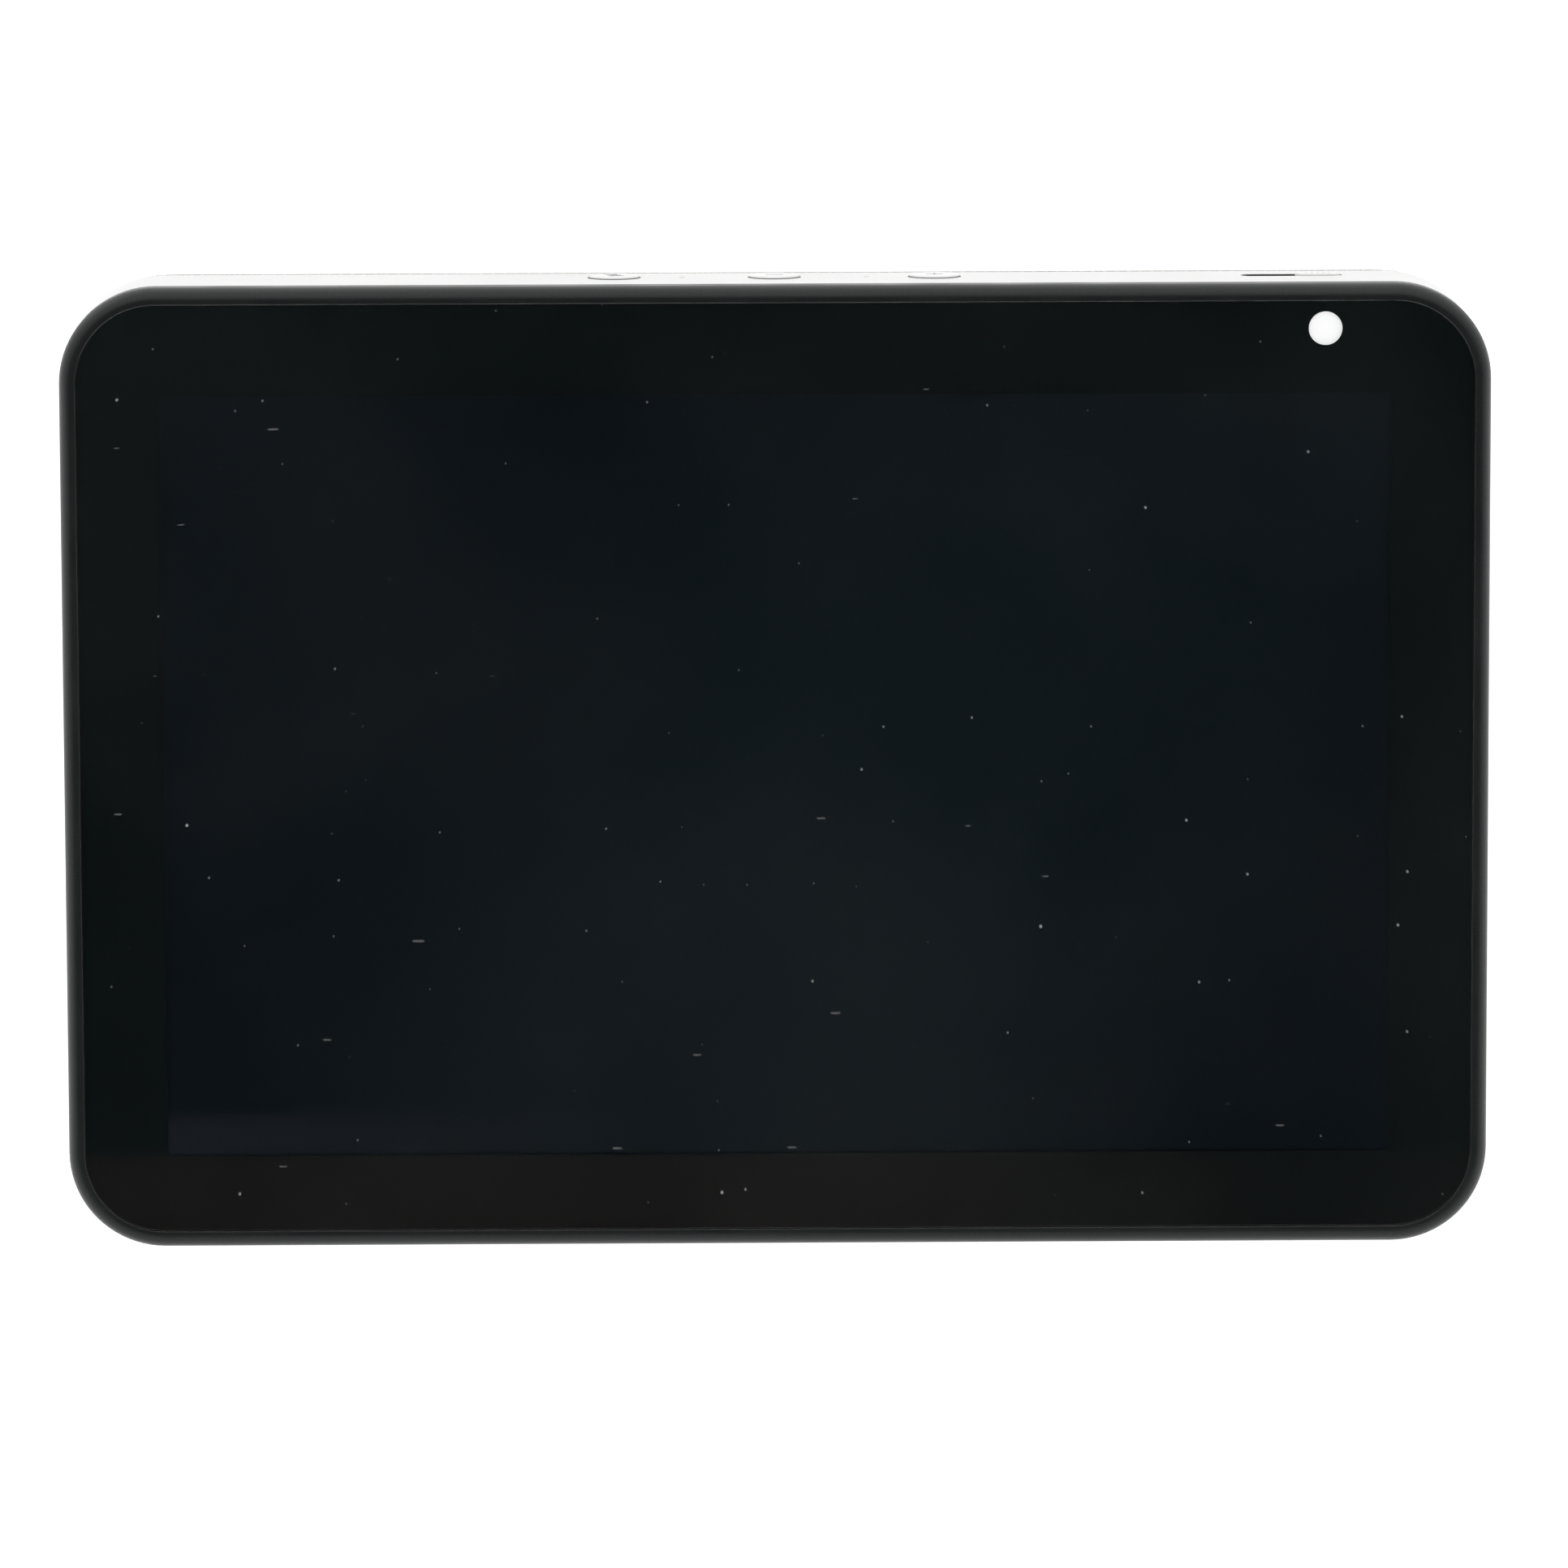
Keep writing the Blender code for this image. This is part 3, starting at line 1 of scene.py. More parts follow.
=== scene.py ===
"""Looks of an eight-inch smart display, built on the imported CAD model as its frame.

Lengths are in metres. X is the width, -Y the front and +Z up; the screen leans back and has axes of its own.
"""

import json
import math

import bmesh
import bpy
from mathutils import Matrix, Vector


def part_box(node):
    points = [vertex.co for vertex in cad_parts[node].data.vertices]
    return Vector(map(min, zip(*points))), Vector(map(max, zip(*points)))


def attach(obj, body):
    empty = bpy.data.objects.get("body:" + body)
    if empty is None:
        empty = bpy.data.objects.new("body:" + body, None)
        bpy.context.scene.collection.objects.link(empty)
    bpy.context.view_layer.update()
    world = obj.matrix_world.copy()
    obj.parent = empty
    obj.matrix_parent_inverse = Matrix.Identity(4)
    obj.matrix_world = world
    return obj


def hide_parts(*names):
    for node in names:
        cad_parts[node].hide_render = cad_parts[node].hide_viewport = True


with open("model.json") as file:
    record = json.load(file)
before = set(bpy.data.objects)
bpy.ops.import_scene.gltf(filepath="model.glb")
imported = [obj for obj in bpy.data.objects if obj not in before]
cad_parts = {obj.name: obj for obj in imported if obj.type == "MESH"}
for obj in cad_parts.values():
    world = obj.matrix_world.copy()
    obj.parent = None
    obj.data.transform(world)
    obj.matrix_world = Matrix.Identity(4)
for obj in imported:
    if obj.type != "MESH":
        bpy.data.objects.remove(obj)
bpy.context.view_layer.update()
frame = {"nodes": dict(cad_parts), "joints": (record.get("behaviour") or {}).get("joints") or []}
MM = 0.001
NODES = frame["nodes"]

# --- Axes, worked out from the frame -----------------------------------------------------------
PRESS = next(Vector(j["axis"]) for j in frame["joints"] if j["name"] == "volume_up_key_press")
TILT = math.atan2(-PRESS.y, -PRESS.z)  # how far the screen leans back from upright
LEAN = Matrix.Rotation(math.radians(90) - TILT, 4, "X")


def box_in(axes, node):
    """Lowest and highest corner of a CAD node, measured along the given axes."""
    back = axes.inverted()
    points = [back @ vertex.co for vertex in NODES[node].data.vertices]
    return (Vector(map(min, *points)), Vector(map(max, *points)))


def screen_axes():
    low, high = box_in(LEAN, "cover_glass")
    middle = Vector(((low.x + high.x) / 2, (low.y + high.y) / 2, high.z))
    return Matrix.Translation(LEAN @ middle) @ LEAN


def corner_radius(axes, node):
    """Radius of a node's outline in the axes' XY plane: how far below its top its straight sides end."""
    back, high = axes.inverted(), box_in(axes, node)[1]
    points = [back @ vertex.co for vertex in NODES[node].data.vertices]
    return high.y - max(point.y for point in points if point.x > high.x - 0.01 * MM)


# In the screen's axes X is the width, Y runs up the screen and Z points out of it.
SCREEN = screen_axes()
RING_LOW, RING_HIGH = box_in(SCREEN, "housing_ring")
# In the ring's top face, Z points out of the face, X is the width and Y runs to the back.
TOP_FACE = SCREEN @ Matrix.Translation((0, RING_HIGH.y, 0)) @ Matrix.Rotation(-math.radians(90), 4, "X")
BACK_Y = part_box("fabric_cover")[1].y
# On the back, Z points to the back and Y down.
BACK = Matrix.Translation((0, BACK_Y, 0)) @ Matrix.Rotation(-math.radians(90), 4, "X")
WORLD = Matrix.Identity(4)

# --- Sizes -------------------------------------------------------------------------------------
GAP = 0.3 * MM
CORNER_STEPS = 20  # straight pieces in a quarter turn of an outline
ROUND_STEPS = 64  # sides of a turned piece
FILLET_STEPS = 5

RIM_LOW, RIM_HIGH = box_in(SCREEN, "front_frame")
PANEL_CORNER = corner_radius(SCREEN, "front_frame")
RIM_ROUND = 1.8 * MM
RIM_LIP = 2.0 * MM
RIM_LEDGE = 1.35 * MM
RIM_SET_BACK = 0.06 * MM  # how far the rim lies behind the front of the glass

GLASS_LOW, GLASS_HIGH = box_in(SCREEN, "cover_glass")
GLASS_CORNER = PANEL_CORNER - (RIM_HIGH.x - GLASS_HIGH.x)
GLASS_ROUND = 0.08 * MM
SEAM = 0.03 * MM  # between the glass and the rim's lip
INK_THICKNESS = 0.05 * MM
ACTIVE_WIDTH = 172.2 * MM
ACTIVE_HEIGHT = 107.6 * MM
ACTIVE_TOP = RIM_HIGH.y - 15.3 * MM
WINDOW_RADIUS = 2.35 * MM

RING_WALL = 2.0 * MM
RING_CORNER = PANEL_CORNER - (RIM_HIGH.x - RING_HIGH.x)
RING_EDGE = 0.35 * MM
BOSS_RADIUS = 3.6 * MM
BOSS_FRONT = -7.1 * MM
BOSS_BACK = -14.0 * MM
SCREW_HOLE = 1.4 * MM

BUTTON_RADIUS = 3.5 * MM
BUTTON_PROUD = 0.35 * MM
GAP_SHADE_WIDTH = 0.08 * MM  # thickness of the grey ring round a button, painted shade for the gap round its cap
GAP_SHADE_TOP = 0.12 * MM
FLANGE_RADIUS = 4.6 * MM
FLANGE_THICKNESS = 0.6 * MM
ICON_PROUD = 0.03 * MM
ICON_STROKE = 0.26 * MM
MIC_OFFSET = 13.0 * MM
MIC_HOLE_RADIUS = 0.5 * MM
SLOT_LENGTH = 14.4 * MM
SLOT_WIDTH = 3.2 * MM
KNOB_LENGTH = 6.4 * MM
KNOB_PROUD = 0.3 * MM

FABRIC_THICKNESS = 0.55 * MM
FABRIC_ROUND = 0.6 * MM
HEM = 6.0 * MM
FOOT_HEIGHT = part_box("base_plate")[0].z
BACK_HALF_WIDTH = 60.0 * MM
BACK_HEIGHT = 26.0 * MM
REAR_ROUND = 5.0 * MM  # how far round the flat back its rounded edge reaches

PORT_LOW, PORT_HIGH = box_in(BACK, "port_panel")
PORT_CORNER = 4.0 * MM
DC_RADIUS = 4.4 * MM
DC_BORE = 3.0 * MM
AUDIO_RADIUS = 3.4 * MM
AUDIO_BORE = 1.8 * MM


# --- Outlines and meshes -----------------------------------------------------------------------
def arc(centre, radius, start, end, steps=CORNER_STEPS):
    """Points on an arc between two angles in degrees, both ends included."""
    turn = [math.radians(start + (end - start) * k / steps) for k in range(steps + 1)]
    return [(centre[0] + radius * math.cos(a), centre[1] + radius * math.sin(a)) for a in turn]


def rounded_rectangle(width, height, radius, centre=(0.0, 0.0), steps=CORNER_STEPS):
    x, y = width / 2 - radius, height / 2 - radius
    outline = []
    for cx, cy, start in ((x, -y, -90), (x, y, 0), (-x, y, 90), (-x, -y, 180)):
        outline += arc((centre[0] + cx, centre[1] + cy), radius, start, start + 90, steps)
    return outline


def circle(radius, centre=(0.0, 0.0), sides=ROUND_STEPS):
    return arc(centre, radius, 0, 360 - 360 / sides, sides - 1)


def loft(levels, ring=False):
    """A closed mesh through outlines with equal numbers of points, given as (outline, height) pairs.

    With ring, the last outline joins the first one, as in a section swept round."""
    bm = bmesh.new()
    rows = [[bm.verts.new((x, y, height)) for x, y in outline] for outline, height in levels]
    count = len(rows[0])
    for a, b in zip(rows, rows[1:] + rows[:1] if ring else rows[1:]):
        for k in range(count):
            bm.faces.new((a[k], a[(k + 1) % count], b[(k + 1) % count], b[k]))
    if not ring:
        bm.faces.new(rows[0])
        bm.faces.new(rows[-1])
    bmesh.ops.recalc_face_normals(bm, faces=bm.faces)
    return bm


def prism(outline_at, low, high, low_round, high_round, steps=FILLET_STEPS):
    """A solid whose outline_at(inset) is drawn from low to high, with both of its edges rounded."""
    levels = []
    for k in range(steps + 1):
        a = math.radians(90 * k / steps)
        levels.append((outline_at(low_round * (1 - math.sin(a))), low + low_round * (1 - math.cos(a))))
    for k in range(steps + 1):
        a = math.radians(90 * k / steps)
        levels.append((outline_at(high_round * (1 - math.cos(a))), high - high_round * (1 - math.sin(a))))
    return loft(levels)


def rectangle_prism(width, height, radius, centre, low, high, low_round, high_round):
    def outline_at(inset):
        return rounded_rectangle(width - 2 * inset, height - 2 * inset, radius - inset, centre)
    return prism(outline_at, low, high, low_round, high_round)


def turned(profile, centre=(0.0, 0.0), sides=ROUND_STEPS):
    """A profile of (radius, height) points turned about Z; its two ends are closed."""
    return loft([(circle(radius, centre, sides), height) for radius, height in profile])


def block(low, high, edge=0.1 * MM):
    """A box between two corners, with narrow rounded edges round its sides."""
    low, high = Vector(low), Vector(high)
    size, middle = high - low, (low + high) / 2
    return rectangle_prism(size.x, size.y, 2 * edge, (middle.x, middle.y), low.z, high.z, edge, edge)


def linked(name, data):
    """A new object in the scene with that data."""
    made = bpy.data.objects.new(name, data)
    bpy.context.scene.collection.objects.link(made)
    return made


def plate(outlines, low, high):
    """Flat outlines, the first one solid and the others holes in it, from low to high along Z."""
    data = bpy.data.curves.new("plate", "CURVE")
    data.dimensions = "2D"
    data.fill_mode = "BOTH"
    data.extrude = (high - low) / 2
    for outline in outlines:
        spline = data.splines.new("POLY")
        spline.points.add(len(outline) - 1)
        spline.use_cyclic_u = True
        for point, (x, y) in zip(spline.points, outline):
            point.co = (x, y, 0.0, 1.0)
    bm = evaluated(linked("plate", data))
    bmesh.ops.remove_doubles(bm, verts=bm.verts, dist=0.000002)
    bm.transform(Matrix.Translation((0, 0, (low + high) / 2)))
    bmesh.ops.recalc_face_normals(bm, faces=bm.faces)
    return bm


def evaluated(helper):
    """The helper's final mesh as a bmesh; the helper is removed."""
    bpy.context.view_layer.update()
    data = bpy.data.meshes.new_from_object(helper.evaluated_get(bpy.context.evaluated_depsgraph_get()))
    bm = bmesh.new()
    bm.from_mesh(data)
    bpy.data.objects.remove(helper)
    bpy.data.meshes.remove(data)
    return bm


def object_from(name, bm):
    """A mesh object from a bmesh, which is freed."""
    data = bpy.data.meshes.new(name)
    bm.to_mesh(data)
    bm.free()
    return linked(name, data)


def combined(base, others, operation):
    """The base solid with each other solid joined to it or cut out of it."""
    made = object_from("base", base)
    tools = [object_from("tool", other) for other in others]
    for tool in tools:
        modifier = made.modifiers.new("combine", "BOOLEAN")
        modifier.operation = operation
        modifier.solver = "MANIFOLD"
        modifier.object = tool
    bm = evaluated(made)
    for tool in tools:
        bpy.data.objects.remove(tool)
    return bm


def cut(base, *others):
    return combined(base, others, "DIFFERENCE")


def fused(base, *others):
    return combined(base, others, "UNION")


def piece(name, bm, finish, body="housing", replaced=(), axes=WORLD, sharp=32.0):
    """A finished piece: its mesh goes from the given axes to the frame's, and it rides on a body."""
    surface = bm.loops.layers.uv.get("surface") or bm.loops.layers.uv.new("surface")
    if all(loop[surface].uv.length == 0 for face in bm.faces for loop in face.loops):
        for face in bm.faces:
            for loop in face.loops:
                loop[surface].uv = loop.vert.co.xy
    bm.transform(axes)
    made = object_from(name, bm)
    made.data.materials.append(finish)
    made.data.shade_smooth()
    made.data.set_sharp_from_angle(angle=math.radians(sharp))
    weighting = made.modifiers.new("weighted_normals", "WEIGHTED_NORMAL")
    weighting.keep_sharp = True
    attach(made, body)
    if replaced:
        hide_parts(*replaced)
    return made


# --- Materials ---------------------------------------------------------------------------------
def add_node(tree, kind, inputs=None, **settings):
    """A new node with its settings and its inputs, each of which is a value or another node's output."""
    made = tree.nodes.new(kind)
    for key, value in settings.items():
        setattr(made, key, value)
    for key, value in (inputs or {}).items():
        if isinstance(value, bpy.types.NodeSocket):
            tree.links.new(value, made.inputs[key])
        elif value is not None:
            made.inputs[key].default_value = value
    return made


class Finish:
    """A Principled material being put together from procedural nodes."""

    def __init__(self, name, **sockets):
        self.material = bpy.data.materials.new(name)
        self.material.use_nodes = True
        self.nodes = self.material.node_tree.nodes
        self.shader = self.nodes["Principled BSDF"]
        for key, value in sockets.items():
            self.shader.inputs[key.replace("_", " ")].default_value = value
        self.place = self.add("ShaderNodeTexCoord").outputs["Object"]

    def add(self, kind, inputs=None, **settings):
        return add_node(self.material.node_tree, kind, inputs, **settings)

    def set(self, socket, value):
        self.material.node_tree.links.new(value, self.shader.inputs[socket])

    def surface(self):
        """The piece's flat coordinates, in metres."""
        return self.add("ShaderNodeUVMap", uv_map="surface").outputs["UV"]

    def stretched(self, scale, vector=None, turn=0.0):
        return self.add("ShaderNodeMapping", {"Vector": vector or self.place, "Scale": scale,
                                              "Rotation": (0, 0, turn)}).outputs[0]

    def noise(self, size, detail=2.0, vector=None, **inputs):
        """Noise from 0 to 1, whose features are about that size in metres."""
        values = {"Vector": vector or self.place, "Scale": 1 / size, "Detail": detail, **inputs}
        return self.add("ShaderNodeTexNoise", values).outputs[0]

    def cells(self, size, vector=None, output="Distance", **settings):
        values = {"Vector": vector or self.place, "Scale": 1 / size}
        return self.add("ShaderNodeTexVoronoi", values, **settings).outputs[output]

    def span(self, value, low, high, source=(0.0, 1.0)):
        """Value, which runs over source, brought to the range from low to high."""
        inputs = {"Value": value, 1: source[0], 2: source[1], 3: low, 4: high}
        return self.add("ShaderNodeMapRange", inputs).outputs[0]

    def math(self, operation, a, b=None):
        return self.add("ShaderNodeMath", {0: a, 1: b}, operation=operation).outputs[0]

    def mix(self, share, a, b):
        """Colour a where share is 0 and colour b where it is 1."""
        a, b = ((*c, 1.0) if isinstance(c, tuple) else c for c in (a, b))
        return self.add("ShaderNodeMix", {0: share, 6: a, 7: b}, data_type="RGBA").outputs[2]

    def bump(self, height, distance, strength=1.0, under=None):
        inputs = {"Height": height, "Distance": distance, "Strength": strength, "Normal": under}
        return self.add("ShaderNodeBump", inputs).outputs[0]


def shade(colour, factor):
    return tuple(min(1.0, c * factor) for c in colour)


def moulded(name, colour, roughness, grain=0.14 * MM, depth=0.006 * MM, drift=0.04, **sockets):
    """Moulded plastic or rubber: spark-eroded grain, a little colour drift and patches rubbed smoother."""
    made = Finish(name, **sockets)
    drifting = made.noise(35 * MM, 3)
    fine = made.noise(0.8 * MM, 3)
    base = made.mix(drifting, shade(colour, 1 - drift), shade(colour, 1 + drift))
    speckled = made.span(fine, 0.0, 0.35, (0.45, 0.75))
    made.set("Base Color", made.mix(speckled, base, shade(colour, 1 - 2 * drift)))
    made.set("Roughness", made.span(made.noise(14 * MM, 4), roughness - 0.07, roughness + 0.07, (0.3, 0.7)))
    made.set("Normal", made.bump(made.noise(grain, 2), depth))
    return made.material


def metal(name, colour, roughness, grain=(0.1 * MM, 6 * MM, 0.1 * MM), depth=0.002 * MM):
    """Rolled or brushed metal: fine lines along one direction and faint stains."""
    made = Finish(name, Metallic=1.0)
    lines = made.noise(1.0, 3, made.stretched(tuple(1 / g for g in grain)))
    made.set("Base Color", made.mix(made.noise(9 * MM, 4), shade(colour, 0.86), shade(colour, 1.06)))
    made.set("Roughness", made.span(lines, roughness - 0.1, roughness + 0.12))
    made.set("Normal", made.bump(lines, depth))
    return made.material


def make_rim_finish():
    """Satin black plastic with a fine grain. Its rounded edge has a painted highlight: a paler base colour
    and paler specks than on its front and its flat sides.
    """
    made = Finish("rim_plastic", Specular_IOR_Level=0.28)
    specks = made.span(made.noise(0.18 * MM, 2), 0.0, 1.0, (0.58, 0.74))
    base = made.mix(made.noise(20 * MM, 3), (0.0060, 0.0075, 0.0078), (0.0085, 0.0100, 0.0102))
    front = tuple(SCREEN.to_3x3() @ Vector((0, 0, 1)))
    normal = made.add("ShaderNodeNewGeometry").outputs["Normal"]
    facing = made.add("ShaderNodeVectorMath", {0: normal, 1: front}, operation="DOT_PRODUCT").outputs["Value"]
    # Painted highlight: the rim turns paler where its surface turns away from the front, and falls back to
    # near black on the flat sides.
    highlight_front_limit = made.span(facing, 1.0, 0.0, (0.45, 0.99))
    highlight_side_limit = made.span(facing, 0.15, 1.0, (0.0, 0.25))
    edge = made.math("MINIMUM", highlight_front_limit, highlight_side_limit)
    base = made.mix(edge, base, (0.072, 0.073, 0.074))
    speck_colour = made.mix(edge, (0.020, 0.021, 0.022), (0.110, 0.111, 0.112))
    made.set("Base Color", made.mix(specks, base, speck_colour))
    made.set("Roughness", made.span(made.noise(9 * MM, 4), 0.30, 0.40, (0.3, 0.7)))
    made.set("Normal", made.bump(made.noise(0.15 * MM, 2), 0.006 * MM))
    return made.material


def make_glass_finish():
    """Cover glass with some dust, a few hairline scratches and a faint bluish haze, which is partly
    fingerprint grease and partly a painted reflection.
    """
    made = Finish("cover_glass_clear", IOR=1.5, Specular_IOR_Level=0.5)
    flat = made.surface()
    dust = made.cells(7.5 * MM, flat, voronoi_dimensions="2D")
    chance = made.cells(7.5 * MM, flat, "Color", voronoi_dimensions="2D")
    size = made.span(chance, 0.0, 0.030, (0.60, 1.0))
    specks = made.math("LESS_THAN", dust, size)
    streak = made.stretched((1 / (24 * MM), 1 / (4.5 * MM), 1.0), flat, math.radians(80))
    near = made.cells(1.0, streak, voronoi_dimensions="2D")
    rare = made.span(made.cells(1.0, streak, "Color", voronoi_dimensions="2D"), 0.0, 0.045, (0.72, 1.0))
    scratch = made.math("LESS_THAN", near, rare)
    marks = made.math("MAXIMUM", made.math("MULTIPLY", specks, 0.40), made.math("MULTIPLY", scratch, 0.08))
    # Partly fingerprint grease and partly a painted reflection: soft blotches of faint bluish haze over the
    # pane.
    grease_and_reflection_smear = made.noise(70 * MM, 2, flat, Distortion=0.4)
    grease_and_painted_reflection = made.span(grease_and_reflection_smear, 0.0, 0.0025, (0.40, 0.65))
    shown = made.math("MAXIMUM", marks, grease_and_painted_reflection)
    made.set("Transmission Weight", made.math("SUBTRACT", 1.0, shown))
    made.set("Base Color", made.mix(shown, (1.0, 1.0, 1.0), (0.62, 0.75, 0.82)))
    made.set("Roughness", made.span(made.noise(25 * MM, 5, flat), 0.015, 0.06, (0.35, 0.7)))
    return made.material


def make_ink_finish():
    """Black mask printed behind the glass, with a painted reflection that makes it a little greyer below the
    picture.
    """
    made = Finish("mask_ink", Specular_IOR_Level=0.1)
    axis = made.add("ShaderNodeSeparateXYZ", {0: made.surface()})
    bottom = ACTIVE_TOP - ACTIVE_HEIGHT
    # Painted reflection: below the picture the ink turns grey, fully over the left and middle and a third as
    # much on the right.
    low = made.span(axis.outputs[1], 1.0, 0.0, (bottom - MM, bottom + MM))
    left = made.span(axis.outputs[0], 1.0, 0.35, (0.1 * ACTIVE_WIDTH, 0.4 * ACTIVE_WIDTH))
    base = made.mix(made.noise(18 * MM, 3), (0.0012, 0.0060, 0.0062), (0.0024, 0.0070, 0.0072))
    made.set("Base Color", made.mix(made.math("MULTIPLY", low, left), base, (0.0140, 0.0135, 0.0135)))
    made.set("Roughness", made.span(made.noise(0.3 * MM, 2), 0.45, 0.60))
    return made.material


def make_screen_finish():
    """The display switched off: dark and slightly blue, with a painted reflection: a soft paler patch and a
    paler strip along one edge.
    """
    made = Finish("dark_screen", Specular_IOR_Level=0.15)
    flat = made.surface()
    # Painted reflection: a soft, uneven paler patch, turned and stretched across the screen.
    patch = made.add("ShaderNodeMapping", {"Vector": flat, "Location": (8 * MM, -14 * MM, 0),
                                           "Rotation": (0, 0, math.radians(-38)),
                                           "Scale": (48 * MM, 100 * MM, 1.0)}, vector_type="TEXTURE")
    reach = made.add("ShaderNodeVectorMath", {0: patch.outputs[0]}, operation="LENGTH").outputs["Value"]
    uneven = made.math("ADD", reach, made.span(made.noise(30 * MM, 2, flat), -0.35, 0.35))
    painted_reflection_patch = made.add("ShaderNodeMapRange", {"Value": uneven, 1: 1.5, 2: 0.2}, interpolation_type="SMOOTHSTEP")
    base = made.mix(painted_reflection_patch.outputs[0], (0.0018, 0.0074, 0.0122), (0.0070, 0.0155, 0.0215))
    axis = made.add("ShaderNodeSeparateXYZ", {0: flat})
    low = ACTIVE_TOP - ACTIVE_HEIGHT
    # Painted reflection: a paler strip along the bottom, fading out before the middle.
    painted_reflection_strip = made.add("ShaderNodeMapRange", {"Value": axis.outputs[1], 1: low + 7 * MM, 2: low + 4 * MM},
                     interpolation_type="SMOOTHSTEP").outputs[0]
    reflection_strip_fade = made.span(axis.outputs[0], 1.0, 0.0, (-ACTIVE_WIDTH / 2, -ACTIVE_WIDTH / 12))
    made.set("Base Color", made.mix(made.math("MULTIPLY", painted_reflection_strip, reflection_strip_fade), base, (0.0160, 0.0215, 0.0290)))
    made.set("Roughness", made.span(made.noise(0.2 * MM, 2), 0.30, 0.42))
    made.set("Normal", made.bump(made.noise(0.1 * MM, 1), 0.001 * MM))
    return made.material


def make_fabric_finish():
    """Plain weave of two-ply yarn: the threads pass over and under each other, and each has its own tone."""
    made = Finish("woven_fabric", Specular_IOR_Level=0.25, Sheen_Weight=0.25, Sheen_Roughness=0.6)
    pitch = 0.85 * MM
    flat = made.stretched((1 / pitch, 1 / pitch, 1.0), made.surface())
    axis = made.add("ShaderNodeSeparateXYZ", {0: flat})
    across, along = (made.math("MULTIPLY", axis.outputs[k], math.pi) for k in (0, 1))
    wave_u, wave_v = made.math("SINE", across), made.math("SINE", along)

    def thread(own, other, side):
        """Height of one set of threads: round across, and waving over and under along its run."""
        profile = made.math("POWER", made.math("ABSOLUTE", own), 0.6)
        over = made.math("MULTIPLY", made.math("MULTIPLY", made.math("SIGN", own), other), 0.5 * side)
        return made.math("MULTIPLY", profile, made.math("ADD", over, 0.5))

    warp, weft = thread(wave_u, wave_v, 1), thread(wave_v, wave_u, -1)
    height = made.math("MAXIMUM", warp, weft)
    on_top = made.math("GREATER_THAN", warp, weft)
    tone_u = made.noise(1.0, 3, made.stretched((1.0, 0.12, 1.0), flat))
    tone_v = made.noise(1.0, 3, made.stretched((0.12, 1.0, 1.0), flat))
    pale, dark = (0.66, 0.65, 0.63), (0.42, 0.415, 0.405)
    warp_colour = made.mix(made.span(tone_u, 0, 1, (0.3, 0.7)), pale, shade(pale, 0.84))
    weft_colour = made.mix(made.span(tone_v, 0, 1, (0.3, 0.7)), shade(pale, 0.94), dark)
    yarn = made.mix(on_top, weft_colour, warp_colour)
    # Painted shade: the hollows between the threads are darkened towards a deep grey.
    painted_gap_shade_mask = made.span(height, 0.30, 1.0, (0.0, 0.55))
    made.set("Base Color", made.mix(painted_gap_shade_mask, shade(dark, 0.35), yarn))
    made.set("Roughness", made.span(height, 0.98, 0.82))
    fibres = made.noise(0.09 * MM, 2)
    made.set("Normal", made.bump(fibres, 0.03 * MM, 0.5, made.bump(height, 0.16 * MM)))
    return made.material


def make_board_finish():
    """Green solder mask with straight tracks under it and pale pads."""
    made = Finish("solder_mask", Coat_Weight=0.3)
    tracks = made.add("ShaderNodeTexBrick", {"Vector": made.place, "Scale": 1.0, "Brick Width": 2.6 * MM,
                                             "Row Height": 0.9 * MM, "Mortar Size": 0.12 * MM,
                                             "Mortar Smooth": 0.2}).outputs["Fac"]
    green = made.mix(tracks, (0.010, 0.11, 0.055), (0.03, 0.21, 0.10))
    pads = made.math("LESS_THAN", made.cells(3.4 * MM, distance="CHEBYCHEV"), 0.13)
    made.set("Base Color", made.mix(pads, green, (0.62, 0.55, 0.38)))
    made.set("Roughness", made.span(made.noise(4 * MM, 3), 0.32, 0.5))
    made.set("Normal", made.bump(tracks, 0.02 * MM))
    return made.material


def make_flex_finish():
    made = Finish("flex_film", Coat_Weight=0.2)
    lines = made.add("ShaderNodeTexWave", {"Vector": made.place, "Scale": 1 / (6 * MM), "Distortion": 0.0},
                     bands_direction="X").outputs["Fac"]
    made.set("Base Color", made.mix(lines, (0.42, 0.17, 0.03), (0.62, 0.33, 0.12)))
    made.set("Roughness", made.span(made.noise(3 * MM, 3), 0.28, 0.45))
    made.set("Normal", made.bump(lines, 0.01 * MM))
    return made.material


def make_cone_finish():
    """Pressed paper: short dark fibres."""
    made = Finish("cone_paper", Specular_IOR_Level=0.2)
    grain = made.stretched((1 / (0.2 * MM), 1 / (1.2 * MM), 1 / (0.5 * MM)))
    fibre = made.noise(1.0, 4, grain, Distortion=1.5)
    made.set("Base Color", made.mix(fibre, (0.018, 0.018, 0.019), (0.055, 0.053, 0.05)))
    made.set("Roughness", made.span(fibre, 0.75, 0.92))
    made.set("Normal", made.bump(fibre, 0.05 * MM))
    return made.material


def make_lens_finish():
    made = Finish("coated_lens", Coat_Weight=1.0, Coat_Roughness=0.03, IOR=1.6)
    tint = made.noise(1.2 * MM, 1)
    made.set("Base Color", made.mix(tint, (0.004, 0.008, 0.028), (0.020, 0.006, 0.030)))
    made.set("Roughness", made.span(made.noise(0.5 * MM, 3), 0.02, 0.07))
    return made.material


WHITE = moulded("white_plastic_grain", (0.90, 0.90, 0.895), 0.42)
WHITE_SMOOTH = moulded("white_plastic_satin", (0.92, 0.92, 0.915), 0.34, depth=0.003 * MM)
